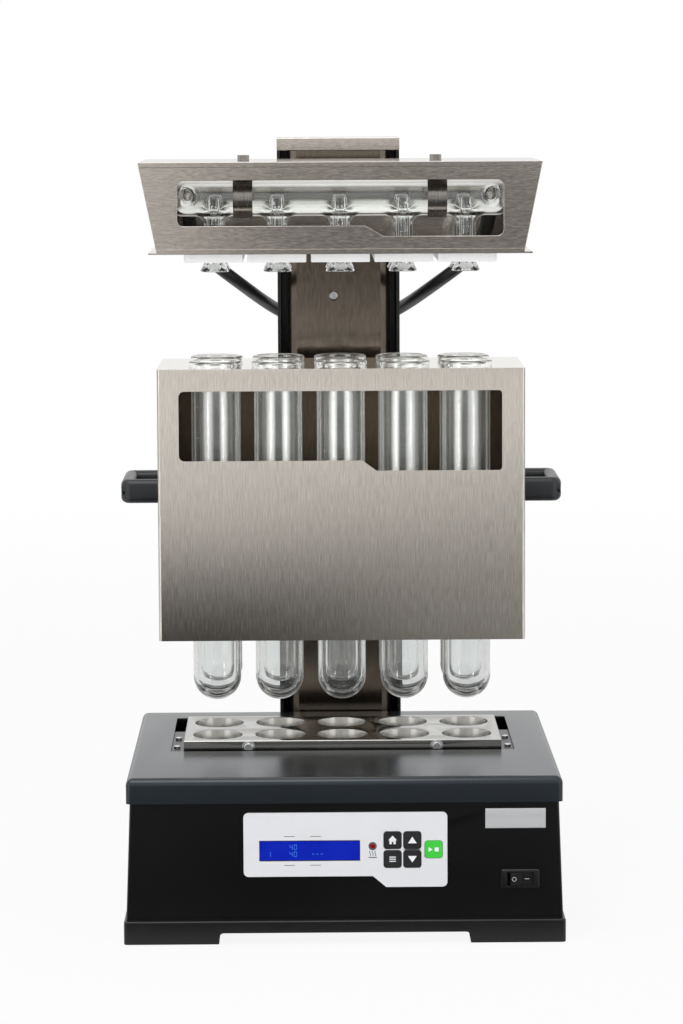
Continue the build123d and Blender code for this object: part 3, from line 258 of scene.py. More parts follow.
def makeHose(name, side):
    route = [Vector((side * x, y, z)) for x, y, z in hoseSettings["route"]]
    curve = bpy.data.curves.new(name, "CURVE")
    curve.dimensions = "3D"
    curve.resolution_u = 12
    spline = curve.splines.new("NURBS")
    spline.points.add(len(route) - 1)
    for point, corner in zip(spline.points, route):
        point.co = (*corner, 1.0)
    spline.order_u = 3
    spline.use_endpoint_u = True
    line = bpy.data.objects.new(name, curve)
    middle = [vertex.co.copy() for vertex in bpy.data.meshes.new_from_object(line).vertices]
    curve.bevel_depth = hoseSettings["diameter"] / 2
    curve.bevel_resolution = 8
    curve.use_fill_caps = True
    mesh = bpy.data.meshes.new_from_object(line)
    bpy.data.objects.remove(line)
    form = bmesh.new()
    form.from_mesh(mesh)
    bmesh.ops.remove_doubles(form, verts=form.verts, dist=1e-6)
    bmesh.ops.recalc_face_normals(form, faces=form.faces)
    form.to_mesh(mesh)
    form.free()
    hose = bpy.data.objects.new(name, mesh)
    scene.collection.objects.link(hose)
    mesh.materials.clear()
    mesh.materials.append(hoseRubber)
    mesh.shade_smooth()
    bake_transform(hose)
    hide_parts("exhaust_hoses")


makeHose("rightHose", 1)
makeHose("leftHose", -1)
print("hoses ready")


# Finishes

def enamelFinish(name, dark, light, rough, gloss=(1.0, 1.0, 1.0, 1.0)):
    f = Finish(name)
    peel = f.noise(1100.0, 2.0)
    patch = f.noise(9.0, 3.0)
    return f.skin(Base_Color=f.tint(patch, dark, light), Roughness=rough + (patch - 0.5) * 0.06,
                  Normal=f.bump(peel, 0.14, 0.0001), Specular_Tint=gloss)


def steelFinish(name, dark, light, rough, stretch=(1500.0, 1500.0, 70.0), relief=0.3):
    # brushed sheet: fine streaks along one direction, with slow patches of tone
    f = Finish(name)
    grain = f.noise(1.0, 4.0, stretch, 0.65)
    streak = f.noise(1.0, 2.0, tuple(value * 0.25 for value in stretch))
    patch = f.noise(5.0, 2.0)
    tone = (grain * 0.8 + streak * 0.1 + patch * 0.1).step(0.28, 0.72)
    return f.skin(Base_Color=f.tint(tone, dark, light), Metallic=1.0,
                  Roughness=rough + (grain - 0.5) * 0.08 + (patch - 0.5) * 0.04,
                  Normal=f.bump(grain, relief, 0.0001))


def plainMetal(name, dark, light, rough, scale=220.0):
    f = Finish(name)
    grain = f.noise(scale, 4.0)
    return f.skin(Base_Color=f.tint(grain, dark, light), Metallic=1.0, Roughness=rough + (grain - 0.5) * 0.12,
                  Normal=f.bump(grain, 0.05, 0.0001))


def mouldedFinish(name, dark, light, rough, scale=1600.0, depth=0.1):
    f = Finish(name)
    grain = f.noise(scale, 2.0)
    patch = f.noise(40.0, 2.0)
    return f.skin(Base_Color=f.tint(patch, dark, light), Roughness=rough + (patch - 0.5) * 0.08,
                  Normal=f.bump(grain, depth, 0.0001))


# edge, top and under are the shares of painted highlight on the rims, the top and the underside; the last two
# set the even painted haze and the painted sheen
def glassFinish(name, edge, top, under, paintedHaze=0.0, band=0.0):
    # lamps shine through it, because only its shadow rays are let past; a white layer that glows is mixed in
    # as
    # painted light: painted highlights on its rims, along its top and its underside, a painted sheen beside
    # its middle that fades towards the foot of a tube, and an even painted haze
    f = Finish(name)
    ripple = f.noise(26.0, 2.0)
    glass = f.add("ShaderNodeBsdfPrincipled", {}, {
        "Base Color": (0.985, 0.995, 0.99, 1.0), "Roughness": 0.0, "IOR": 1.47, "Transmission Weight": 1.0,
        "Normal": f.bump(ripple, 0.03, 0.0004)})
    # the white layer that glows though it is no lamp: painted light
    bright = f.add("ShaderNodeBsdfPrincipled", {}, {
        "Base Color": (0.94, 0.945, 0.93, 1.0), "Roughness": 0.25, "Emission Color": (1.0, 0.995, 0.97, 1.0),
        "Emission Strength": 0.5})
    facing = f.add("ShaderNodeLayerWeight", {}, {"Blend": 0.5}, out="Facing")
    # painted highlight where the surface is seen edge-on
    rim = facing.step(0.45, 1.0)
    paintedSheen = facing.step(0.012, 0.05) * (1.0 - facing.step(0.08, 0.2)) * f.axis("Z").step(0.25, 0.36)
    level = f.add("ShaderNodeSeparateXYZ", {}, {0: f.add("ShaderNodeNewGeometry", out="Normal")}, out="Z")
    outside = 1.0 - f.add("ShaderNodeNewGeometry", out="Backfacing")
    # painted highlights where the surface faces up and where it faces down
    paintedHighlights = level.step(0.42, 0.88) * top + (level * -1.0).step(0.86, 0.99) * under
    share = ((rim * edge + paintedHighlights + paintedSheen * band + paintedHaze) * outside).least(0.92)
    body = f.add("ShaderNodeMixShader", {}, {0: share, 1: glass, 2: bright})
    clear = f.add("ShaderNodeBsdfTransparent", {}, {"Color": (0.93, 0.95, 0.94, 1.0)})
    shadow = f.add("ShaderNodeLightPath", out="Is Shadow Ray")
    passing = f.add("ShaderNodeMixShader", {}, {0: shadow, 1: body, 2: clear})
    f.add("ShaderNodeOutputMaterial", {}, {"Surface": passing})
    return f.material


def machinedFinish():
    # aluminium faced on a mill: long fine lines and a few dull spots
    f = Finish("machined_aluminium")
    lines = f.noise(1.0, 3.0, (14.0, 1500.0, 1500.0), 0.6)
    patch = f.noise(30.0, 3.0)
    return f.skin(Base_Color=f.tint(patch, rgb(162, 161, 158), rgb(184, 183, 180)), Metallic=1.0,
                  Roughness=0.19 + (lines - 0.5) * 0.14 + (patch - 0.5) * 0.1,
                  Normal=f.bump(lines, 0.12, 0.0001))


def sealFinish():
    # milky fluoropolymer, with a faint painted glow standing in for the light that soaks through it
    f = Finish("seal_white")
    grain = f.noise(900.0, 2.0)
    patch = f.noise(50.0, 2.0)
    return f.skin(Base_Color=f.tint(patch, rgb(238, 240, 240), rgb(248, 249, 249)),
                  Roughness=0.42 + (patch - 0.5) * 0.1, Normal=f.bump(grain, 0.08, 0.0001),
                  # the emission is a painted glow
                  Emission_Color=(1.0, 1.0, 1.0, 1.0), Emission_Strength=0.06)


def badgeFinish():
    # satin silver print with faint level bands
    f = Finish("badge_silver")
    grain = f.noise(1.0, 3.0, (24.0, 1400.0, 1400.0), 0.6)
    band = f.noise(1.0, 1.0, (2.0, 2.0, 260.0))
    return f.skin(Base_Color=f.tint(band, rgb(186, 188, 190), rgb(212, 214, 215)), Metallic=0.35,
                  Roughness=0.42 + (grain - 0.5) * 0.16, Normal=f.bump(grain, 0.1, 0.0001))


finishes = {
    "black_enamel": enamelFinish("black_enamel", rgb(5, 5, 6), rgb(9, 9, 10), 0.3),
    "slate_enamel": enamelFinish("slate_enamel", rgb(29, 33, 37), rgb(34, 39, 44), 0.22,
                                 (0.86, 0.94, 1.0, 1.0)),
    "machined_aluminium": machinedFinish(),
    "heater_metal": plainMetal("heater_metal", rgb(150, 150, 150), rgb(178, 178, 178), 0.5),
    "insulation_fibre": mouldedFinish("insulation_fibre", rgb(214, 208, 192), rgb(232, 228, 215), 0.95, 500.0,
                                      0.6),
    "bright_zinc": plainMetal("bright_zinc", rgb(196, 197, 200), rgb(226, 227, 230), 0.2, 500.0),
    "probe_steel": plainMetal("probe_steel", rgb(178, 178, 180), rgb(204, 204, 206), 0.22, 700.0),
    "board_laminate": mouldedFinish("board_laminate", rgb(28, 84, 40), rgb(36, 102, 50), 0.45),
    "overlay_grey": mouldedFinish("overlay_grey", rgb(217, 218, 221), rgb(223, 224, 227), 0.42, 1500.0, 0.05),
    "display_blue": mouldedFinish("display_blue", rgb(2, 30, 168), rgb(4, 35, 184), 0.16, 300.0, 0.02),
    "lens_red": mouldedFinish("lens_red", rgb(112, 10, 12), rgb(140, 14, 16), 0.16, 300.0, 0.02),
    "key_black": mouldedFinish("key_black", rgb(30, 30, 32), rgb(38, 38, 40), 0.42),
    "start_green": mouldedFinish("start_green", rgb(46, 196, 52), rgb(60, 208, 62), 0.4),
    "badge_silver": badgeFinish(),
    "switch_black": mouldedFinish("switch_black", rgb(20, 20, 21), rgb(27, 27, 28), 0.28),
    "brushed_steel": steelFinish("brushed_steel", rgb(200, 194, 186), rgb(234, 229, 222), 0.13),
    "cast_aluminium": plainMetal("cast_aluminium", rgb(146, 146, 148), rgb(170, 170, 172), 0.45, 300.0),
    "handle_polymer": mouldedFinish("handle_polymer", rgb(21, 24, 27), rgb(29, 32, 35), 0.34),
    # tubes: painted highlights on the rims, an even painted haze and a painted sheen
    "clear_glass": glassFinish("clear_glass", 0.26, 0.0, 0.0, 0.008, 0.22),
    "seal_white": sealFinish(),
    "hose_rubber": hoseRubber,
    "junction_plastic": mouldedFinish("junction_plastic", rgb(24, 24, 25), rgb(32, 32, 33), 0.4),
}
hoodSteel = steelFinish("hood_steel", rgb(186, 179, 172), rgb(216, 210, 203), 0.15, (200.0, 1500.0, 1500.0),
                        0.03)
columnSteel = steelFinish("column_steel", rgb(112, 103, 93), rgb(134, 124, 113), 0.15, (700.0, 700.0, 120.0),
                          0.04)
clipSteel = steelFinish("clip_steel", rgb(138, 135, 132), rgb(166, 163, 159), 0.26, (700.0, 700.0, 30.0),
                        0.1)
# a darker copy of the steel, painted shade for the inside of the rack
shadedInnerSteel = steelFinish("shaded_inner_steel", rgb(74, 64, 54), rgb(92, 81, 69), 0.4, relief=0.1)
plinthPlastic = mouldedFinish("plinth_plastic", rgb(7, 7, 8), rgb(11, 11, 12), 0.36)
darkScrew = plainMetal("dark_screw", rgb(46, 48, 52), rgb(60, 62, 66), 0.35)
bracketSteel = plainMetal("bracket_steel", rgb(74, 74, 75), rgb(98, 98, 99), 0.35)
# manifold and funnels: stronger painted highlights on the rims, along the top and along the underside
hoodGlass = glassFinish("hood_glass", 0.22, 0.9, 0.6)
funnelGlass = glassFinish("funnel_glass", 0.8, 0.2, 0.2)
nodeFinish = {"base_plinth": plinthPlastic, "rack_back": shadedInnerSteel, "rack_guide": shadedInnerSteel,
              "hood_shell": hoodSteel, "hood_top": hoodSteel, "hood_base": hoodSteel, "hood_back": hoodSteel,
              "column_front": columnSteel, "column_cap": hoodSteel, "manifold_clips": clipSteel,
              "handle_screws": darkScrew, "block_brackets": bracketSteel}
for nodeName, node in cadNodes.items():
    slotName = node.data.materials[0].name.split(".")[0]
    nodeFinish.setdefault(nodeName, finishes[slotName])
    for index in range(len(node.data.materials)):
        node.data.materials[index] = nodeFinish[nodeName]
print("finishes ready", len(finishes))


# Finished copies: the same shape as the CAD node, with its edges broken

edgeSettings = {
    # node: (width of the broken edge in mm, segments)
    "base_plinth": (0.8, 2), "base_housing": (0.4, 2), "top_cover": (0.5, 2), "control_overlay": (0.3, 2),
    "badge_plate": (0.2, 2), "switch_bezel": (0.35, 2), "power_rocker": (0.6, 3),
    "column_housing": (0.5, 2), "column_front": (0.4, 2), "column_cap": (0.5, 2), "rod_blocks": (0.5, 1),
    "lift_carriage": (0.4, 2), "hood_carriage": (0.4, 2), "rack_shell": (0.7, 3), "rack_top": (0.7, 3),
    "rack_back": (0.3, 1), "rack_guide": (0.3, 1), "rack_handles": (0.4, 2), "hood_shell": (0.45, 2),
    "hood_top": (0.4, 2), "hood_back": (0.3, 1), "hood_base": (0.4, 2), "tube_seals": (0.7, 2),
    "manifold_clips": (0.3, 2), "column_screw": (0.3, 2), "block_brackets": (0.3, 1),
    "block_screws": (0.3, 2), "column_foot": (0.5, 2), "rear_panel": (0.3, 1), "power_inlet": (0.5, 2),
    "hose_junction": (0.5, 2), "home_key": (0.35, 2), "up_key": (0.35, 2), "set_key": (0.35, 2),
    "down_key": (0.35, 2), "start_key": (0.35, 2), "handle_screws": (0.3, 2), "status_lens": (0.2, 2),
    "heating_block": (0.4, 2), "display": (0.1, 1),
}


def cleanForm(nodeName):
    form = bmesh.new()
    form.from_mesh(cadNodes[nodeName].data)
    bmesh.ops.remove_doubles(form, verts=form.verts, dist=2e-6)
    bmesh.ops.dissolve_limit(form, angle_limit=math.radians(0.5), use_dissolve_boundaries=False,
                             verts=form.verts, edges=form.edges)
    return form


def bevelEdges(form, edges, offset, segments, clamp=True):
    bmesh.ops.bevel(form, geom=edges, offset=offset * mm, offset_type="OFFSET", affect="EDGES",
                    segments=segments, profile=0.5, material=-1, clamp_overlap=clamp)


wellSettings = {"radius": 21.75, "top": 149.0, "chamfer": 1.5}


def chamferWells(form):
    # the bright ring round the mouth of every well
    s = wellSettings
    centres = [Vector(place) * mm for place in places]

    def onRim(vertex):
        near = min((vertex.co.xy - centre).length for centre in centres)
        return abs(vertex.co.z - s["top"] * mm) < 1e-5 and abs(near - s["radius"] * mm) < 2e-4
    rims = [edge for edge in form.edges if onRim(edge.verts[0]) and onRim(edge.verts[1])]
    bevelEdges(form, rims, s["chamfer"], 2)
    print("well rims", len(rims))


openingSettings = {"keys": ("home_key", "up_key", "set_key", "down_key", "start_key"), "gap": 0.3,
                   "radius": 2.7}


def roundOpenings(form):
    # the overlay's openings follow the rounded corners of the keys in them
    s = openingSettings
    corners = []
    gap = s["gap"] * mm
    for key in s["keys"]:
        low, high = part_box(key)
        corners += [Vector((x, z)) for x in (low[0] - gap, high[0] + gap)
                    for z in (low[2] - gap, high[2] + gap)]

    def atCorner(edge):
        first, second = (Vector((vertex.co.x, vertex.co.z)) for vertex in edge.verts)
        return (first - second).length < 1e-5 and min((first - corner).length for corner in corners) < 2e-4
    chosen = [edge for edge in form.edges if atCorner(edge)]
    bevelEdges(form, chosen, s["radius"], 5)
    print("opening corners", len(chosen))


handleSettings = {"middle": 367.0, "height": 21.0, "foot": 160.0, "round": 5.2}


def roundHandles(form):
    # the bows are moulded round in section, apart from their feet on the rack
    s = handleSettings

    def onOutline(edge):
        ends = [vertex.co / mm for vertex in edge.verts]
        level = all(abs(abs(end.z - s["middle"]) - s["height"] / 2) < 0.02 for end in ends)
        foot = all(abs(end.x) < s["foot"] for end in ends)
        return level and not foot and abs(ends[0].z - ends[1].z) < 1.0
    outline = [edge for edge in form.edges if onOutline(edge)]
    bevelEdges(form, outline, s["round"], 6, clamp=False)
    print("handle edges", len(outline))


shapers = {"rack_handles": roundHandles, "heating_block": chamferWells, "control_overlay": roundOpenings}


def refine(nodeName, width, segments):
    form = cleanForm(nodeName)
    if nodeName in shapers:
        shapers[nodeName](form)
    mesh = meshOf(form, nodeName + "Finished", outward=False)
    piece = link(nodeName + "Finished", mesh, nodeFinish[nodeName], cadNodes[nodeName]["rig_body"], [nodeName])
    mesh.set_sharp_from_angle(angle=math.radians(32))
    edge = piece.modifiers.new("edge", "BEVEL")
    edge.width = width * mm
    edge.segments = segments
    edge.limit_method = "ANGLE"
    edge.angle_limit = math.radians(40)
    edge.harden_normals = True
    edge.use_clamp_overlap = True
    return piece


finished = {nodeName: refine(nodeName, *values) for nodeName, values in edgeSettings.items()}
backMesh = finished["rack_back"].data  # painted shade: a darker, duller copy of the steel inside the rack, the bright steel where it faces the column
backMesh.materials.append(finishes["brushed_steel"])
for face in backMesh.polygons:
    face.material_index = 1 if face.normal.y > 0.5 else 0
print("finished copies ready", len(finished))


# Digestion tubes

tubeSettings = {
    "radius": 21.0, "wall": 2.4, "length": 300.0, "top": 481.0, "bottomGlass": 4.0, "straight": 60.0,
    "rimRadius": 23.25, "rimStart": 8.5, "rimRound": 2.1, "mouthRound": 1.4, "steps": 72,
}


def makeTube(number, x, y):
    s = tubeSettings
    radius, inner = s["radius"], s["radius"] - s["wall"]
    top, bottom = s["top"], s["top"] - s["length"]
    low, high = bottom + s["straight"], top - s["straight"]  # the plain run of the wall
    bowl = bottom + s["bottomGlass"] + inner  # centre of the round bottom's inside
    rim, mouth = s["rimRound"], s["mouthRound"]
    outline = arc((0, bottom + radius), radius, -90, 0, 14)
    outline += [(radius, low), (radius, high), (radius, top - s["rimStart"])]
    outline += [(radius + 0.5, top - 6.4), (s["rimRadius"] - 0.6, top - 4.8)]  # the flare under the rim
    outline += arc((s["rimRadius"] - rim, top - rim - 0.1), rim, 10, 100, 5)
    outline += arc((inner + mouth, top - mouth - 0.1), mouth, 100, 180, 4)
    outline += [(inner, high), (inner, low), (inner, bowl)]
    outline += arc((0, bowl), inner, 0, -90, 12)
    outline[0] = (0.0, outline[0][1])
    outline[-1] = (0.0, outline[-1][1])
    form = bmesh.new()
    lathe(form, outline, (x, y, 0.0), steps=s["steps"])
    name, node = f"glassTube{number}", f"tube_{number}"
    piece = link(name, meshOf(form, name), finishes["clear_glass"], node, [node])


for number, (x, y) in enumerate(places, start=1):
    makeTube(number, x, y)
print("tubes ready")


# Funnels

funnelSettings = {"mouthZ": 558.8, "neckZ": 567.3, "mouth": 12.6, "neck": 8.6, "nozzle": 6.0, "top": 623.0,
                  "wall": 1.6}


def makeFunnels():
    s = funnelSettings
    mouth, neck, nozzle, bore = s["mouth"], s["neck"], s["nozzle"], s["nozzle"] - s["wall"]
    low, middle, top = s["mouthZ"], s["neckZ"], s["top"]
    outline = [(mouth - 1.5, low + 0.5), (mouth - 0.6, low), (mouth, low + 0.7),  # the lip
               (neck + 1.0, middle - 1.6), (neck, middle - 0.2), (nozzle, middle),  # the shoulder
               (nozzle, top - 0.6), (nozzle - 0.5, top), (bore, top - 0.6),  # the nozzle's tip
               (bore, middle - 1.0), (nozzle - 0.4, middle - 3.0)]
    outline.append(outline[0])
    form = bmesh.new()
    for x, y in places:
        lathe(form, outline, (x, y, 0.0), steps=48)
    piece = link("glassFunnels", meshOf(form, "glassFunnels"), funnelGlass, "hood", ["glass_funnels"])
    piece.data.set_sharp_from_angle(angle=math.radians(50))


makeFunnels()
print("funnels ready")


# Glass manifold: an outer and an inner skin, their junctions flowing into each other as blown glass does

manifoldSettings = {
    "z": 624.0, "radius": 17.0, "wall": 2.2, "half": 147.0, "dome": 9.0, "straight": 40.0,
    "stem": 8.5, "stemBottom": 577.9, "flare": 9.0, "sunk": 5.0,
    "crossX": 136.5, "crossRadius": 9.75, "crossBack": 43.6, "crossEdge": 3.0,
    "spigotStart": (136.3, 38.0, 611.3), "spigotTurn": (2.8, -0.4, 27.0), "spigotRadius": 4.4,
    "spigotLength": 8.0, "voxel": 1.5, "smoothing": 5,
}


def manifoldBody(thin):
    # all the tubes as closed forms, each thinner by a distance
    s = manifoldSettings
    form = bmesh.new()
    radius, half = s["radius"] - thin, s["half"] - thin
    dome = s["dome"]
    tube = [(0.0, -half)] + arc((radius - dome, dome - half), dome, -90, 0, 6)
    tube += [(radius, -s["straight"]), (radius, s["straight"])]
    tube += arc((radius - dome, half - dome), dome, 0, 90, 6) + [(0.0, half)]
    for y in rows:
        lathe(form, tube, (0.0, y, s["z"]), (1, 0, 0), 56)
    underside = s["z"] - radius
    stem, flare = s["stem"] - thin, s["flare"]
    end, start, sunk = s["stemBottom"] + thin, underside - flare + 1.0, underside + s["sunk"]
    outline = [(0.0, end), (stem, end), (stem, start)] + arc((stem + flare, start), flare, 180, 100, 8)[1:]
    outline += [(stem + flare * 0.8, sunk), (0.0, sunk)]
    for x, y in places:
        lathe(form, outline, (x, y, 0.0), steps=36)
    cross, back = s["crossRadius"] - thin, s["crossBack"] - thin
    for side in (1, -1):
        outline = [(0.0, rows[0]), (cross, rows[0]), (cross, back - s["crossEdge"])]
        outline += [(cross - s["crossEdge"], back), (0.0, back)]
        lathe(form, outline, (side * s["crossX"], 0.0, s["z"]), (0, 1, 0), 36)
        start = Vector((side * s["spigotStart"][0], *s["spigotStart"][1:]))
        turn = Vector((side * s["spigotTurn"][0], *s["spigotTurn"][1:]))
        spigot, length = s["spigotRadius"] - thin * 0.6, s["spigotLength"]
        lathe(form, [(0.0, thin), (spigot, thin), (spigot, length), (0.0, length)], start, turn, 24)
    bmesh.ops.recalc_face_normals(form, faces=form.faces)
    return form


def flowed(form, name, voxel, rounds):
    # one skin round overlapping forms, with its corners relaxed
    mesh = meshOf(form, name, outward=False)
    rough = bpy.data.objects.new(name, mesh)
    scene.collection.objects.link(rough)
    remesh = rough.modifiers.new("skin", "REMESH")
    remesh.mode = "VOXEL"
    remesh.voxel_size = voxel * mm
    skin = bpy.data.meshes.new_from_object(rough.evaluated_get(bpy.context.evaluated_depsgraph_get()))
    bpy.data.objects.remove(rough)
    result = bmesh.new()
    result.from_mesh(skin)
    for _ in range(rounds):
        bmesh.ops.smooth_vert(result, verts=result.verts, factor=0.5, use_axis_x=True, use_axis_y=True,
                              use_axis_z=True)
    return result


def makeManifold():
    s = manifoldSettings
    outer = flowed(manifoldBody(0.0), "manifoldOuter", s["voxel"], s["smoothing"])
    inner = flowed(manifoldBody(s["wall"]), "manifoldInner", s["voxel"], s["smoothing"])
    bmesh.ops.reverse_faces(inner, faces=inner.faces)
    for face in inner.faces:
        face.material_index = 1
    innerMesh = meshOf(inner, "manifoldInner", outward=False)
    outer.from_mesh(innerMesh)
    mesh = meshOf(outer, "manifoldGlass", outward=False)
    piece = link("manifoldGlass", mesh, hoodGlass, "hood", ["glass_manifold"])
    mesh.materials.append(finishes["clear_glass"])
    print("manifold ready", len(mesh.polygons), "faces")


makeManifold()


# Marks on the panel: thin flat forms just proud of what they are printed on

markFinishes = {
    "white": mouldedFinish("mark_white", rgb(226, 228, 230), rgb(238, 240, 242), 0.5, 900.0, 0.02),
    "grey": mouldedFinish("mark_grey", rgb(150, 152, 156), rgb(166, 168, 172), 0.5, 900.0, 0.02),
    "dark": mouldedFinish("mark_dark", rgb(60, 62, 66), rgb(72, 74, 78), 0.5, 900.0, 0.02),
    "digit": mouldedFinish("digit_teal", rgb(40, 104, 214), rgb(52, 118, 222), 0.3, 900.0, 0.02),
    "edge": mouldedFinish("display_edge", rgb(14, 16, 40), rgb(20, 24, 56), 0.3, 900.0, 0.02),
}
markSettings = {
    # fronts are in metres and a little proud of the face behind, the rest is in millimetres
    "panelFront": -0.19574, "keyFront": -0.19614, "displayFront": -0.19544, "thickness": 0.06,
    "display": (-29.45, 79.05), "digitHeight": 4.2, "lens": (23.5, 82.7), "heat": (23.5, 74.2),
    "home": (40.3, 86.0), "up": (56.9, 85.0), "down": (56.9, 74.1), "set": (40.3, 71.5),
    "start": (73.9, 79.6), "arrow": (3.7, 5.6), "rocker": (147.85, 53.8), "rockerProud": 0.05,
}


def mark(name, outlines, depth, finish, body):
    # flat outlines of (x, z) points in millimetres, made into thin plates that face the viewer
    form = bmesh.new()
    for outline in outlines:
        form.faces.new([form.verts.new((x * mm, depth(x, z) if callable(depth) else depth, z * mm))
                        for x, z in outline])
    bmesh.ops.recalc_face_normals(form, faces=form.faces)
    for face in form.faces:
        if face.normal.y > 0:
            face.normal_flip()
    bmesh.ops.solidify(form, geom=form.faces[:], thickness=markSettings["thickness"] * mm)
    link(name, meshOf(form, name), markFinishes[finish], body, smooth=False)


def bar(x, z, width, height):
    return [(x - width / 2, z - height / 2), (x + width / 2, z - height / 2),
            (x + width / 2, z + height / 2), (x - width / 2, z + height / 2)]


def ring(x, z, outer, inner, steps=28):
    # a ring as short strips, because a face has no hole
    strips = []
    for index in range(steps):
        first, second = (2 * math.pi * (index + shift) / steps for shift in (0, 1))
        strips.append([(x + r * math.cos(a), z + r * math.sin(a))
                       for r, a in ((inner, first), (outer, first), (outer, second), (inner, second))])
    return strips


def wave(x, z, height, width, thickness, steps=14):
    # an upright wavy line of warm air, as short strips
    strips = []
    for index in range(steps):
        heights = [z + height * (index + shift) / steps for shift in (0, 1)]
        middles = [x + width * math.sin(2 * math.pi * (level - z) / height) for level in heights]
        strips.append([(middles[0] - thickness / 2, heights[0]), (middles[0] + thickness / 2, heights[0]),
                       (middles[1] + thickness / 2, heights[1]), (middles[1] - thickness / 2, heights[1])])
    return strips


def digits(text, x, z, height):
    # seven-stroke figures
    strokes = {"0": "abcdef", "1": "bc", "4": "bcfg", "-": "g"}
    width, thick = height * 0.5, height * 0.14
    # stroke: (place across, place up, whether it lies level)
    strokePlaces = {"a": (0, 0.5, 1), "b": (0.5, 0.25, 0), "c": (0.5, -0.25, 0), "d": (0, -0.5, 1),
                    "e": (-0.5, -0.25, 0), "f": (-0.5, 0.25, 0), "g": (0, 0, 1)}
    outlines = []
    for index, letter in enumerate(text):
        for stroke in strokes[letter]:
            across, up, level = strokePlaces[stroke]
            size = (width * 0.86, thick) if level else (thick, height * 0.43)
            outlines.append(bar(x + index * width * 1.7 + across * width, z + up * height, *size))
    return outlines


def makeMarks():
    s = markSettings
    x, z = s["display"]
    height = s["digitHeight"]
    figures = digits("40", x - 15.6, z + 3.0, height) + digits("40", x - 15.6, z - 2.9, height)
    figures += digits("---", x + 3.0, z - 2.9, height) + digits("1", x - 34.0, z - 2.9, height)
    mark("displayDigits", figures, s["displayFront"], "digit", "base")
    edges = [bar(x, z + 8.3, 84.3, 0.5), bar(x, z - 8.3, 84.3, 0.5), bar(x - 41.9, z, 0.5, 16.1),
             bar(x + 41.9, z, 0.5, 16.1)]
    mark("displayEdge", edges, s["displayFront"], "edge", "base")
    ticks = [bar(x + dx, z + dz, 9.0, 0.5) for dz in (12.3, -12.3) for dx in (-17.0, 5.0)]
    mark("panelTicks", ticks, s["panelFront"], "dark", "base")
    x, z = s["heat"]
    heat = [strip for dx in (-2.2, 0.0, 2.2) for strip in wave(x + dx, z, 4.6, 0.45, 0.55)]
    mark("heatSymbol", heat + [bar(x, z - 1.2, 7.0, 0.8)], s["panelFront"], "dark", "base")
    mark("lensRing", ring(*s["lens"], 3.5, 2.6), s["panelFront"], "dark", "base")
    front, (half, rise) = s["keyFront"], s["arrow"]
    x, z = s["home"]
    house = [[(x - half, z + 1.6), (x + half, z + 1.6), (x, z + rise)], bar(x - 1.7, z, 1.9, 3.4),
             bar(x + 1.7, z, 1.9, 3.4), bar(x, z + 1.0, 1.6, 1.4)]
    mark("homeMark", house, front, "white", "home_key")
    x, z = s["up"]
    mark("upMark", [[(x - half, z), (x + half, z), (x, z + rise)]], front, "white", "up_key")
    x, z = s["down"]
    mark("downMark", [[(x - half, z), (x, z - rise), (x + half, z)]], front, "white", "down_key")
    x, z = s["set"]
    mark("setMark", [bar(x, z + dz, 5.4, 0.8) for dz in (-1.8, 0.0, 1.8)], front, "white", "set_key")
    x, z = s["start"]
    startMark = [[(x - 3.3, z - 2.0), (x, z), (x - 3.3, z + 2.0)], bar(x + 3.5, z, 3.4, 3.4)]
    mark("startMark", startMark, front, "white", "start_key")
    form = cleanForm("power_rocker")
    rocker = BVHTree.FromBMesh(form)
    form.free()

    def rockerFront(x, z):
        # the rocker's front is tilted, so each corner of a mark is set just proud of it
        hit = rocker.ray_cast(Vector((x * mm, -1.0, z * mm)), Vector((0.0, 1.0, 0.0)))[0]
        return hit.y - s["rockerProud"] * mm
    x, z = s["rocker"]
    mark("offMark", ring(x - 5.2, z, 2.0, 1.35), rockerFront, "grey", "rocker")
    mark("onMark", [bar(x + 5.6, z, 3.6, 0.7)], rockerFront, "grey", "rocker")


makeMarks()
print("marks ready")


# Stage: floor, grey cards for the metal to reflect, lamps and world

stageSettings = {"floorSize": 30.0, "floorDrop": 0.0005, "softNear": 0.75, "softFar": 3.2, "sky": 0.58}


def flat(name, corners, material):
    form = bmesh.new()
    form.faces.new([form.verts.new(corner) for corner in corners])
    mesh = bpy.data.meshes.new(name)
    form.to_mesh(mesh)
    form.free()
    mesh.materials.append(material)
    piece = bpy.data.objects.new(name, mesh)
    scene.collection.objects.link(piece)
    return piece


def floorFinish():
    f = Finish("floor")
    speck = f.noise(40.0, 2.0)
    flatPlace = f.add("ShaderNodeVectorMath", {"operation": "MULTIPLY"}, {0: f.place(), 1: (1.0, 1.0, 0.0)})
    away = f.add("ShaderNodeVectorMath", {"operation": "LENGTH"}, {0: flatPlace}, out="Value")
    rays = f.add("ShaderNodeLightPath", out="Is Camera Ray")
    grey = f.tint(speck, rgb(238, 238, 238), rgb(244, 244, 244))
    near = f.add("ShaderNodeBsdfPrincipled", {}, {"Base Color": grey, "Roughness": 0.9,
                                                  "Specular IOR Level": 0.1})
    white = f.add("ShaderNodeEmission", {}, {"Color": (1.0, 1.0, 1.0, 1.0), "Strength": 1.0})
    share = rays * (0.9 + away.step(stageSettings["softNear"], stageSettings["softFar"]) * 0.1)
    mixed = f.add("ShaderNodeMixShader", {}, {0: share, 1: near, 2: white})
    f.add("ShaderNodeOutputMaterial", {}, {"Surface": mixed})
    return f.material


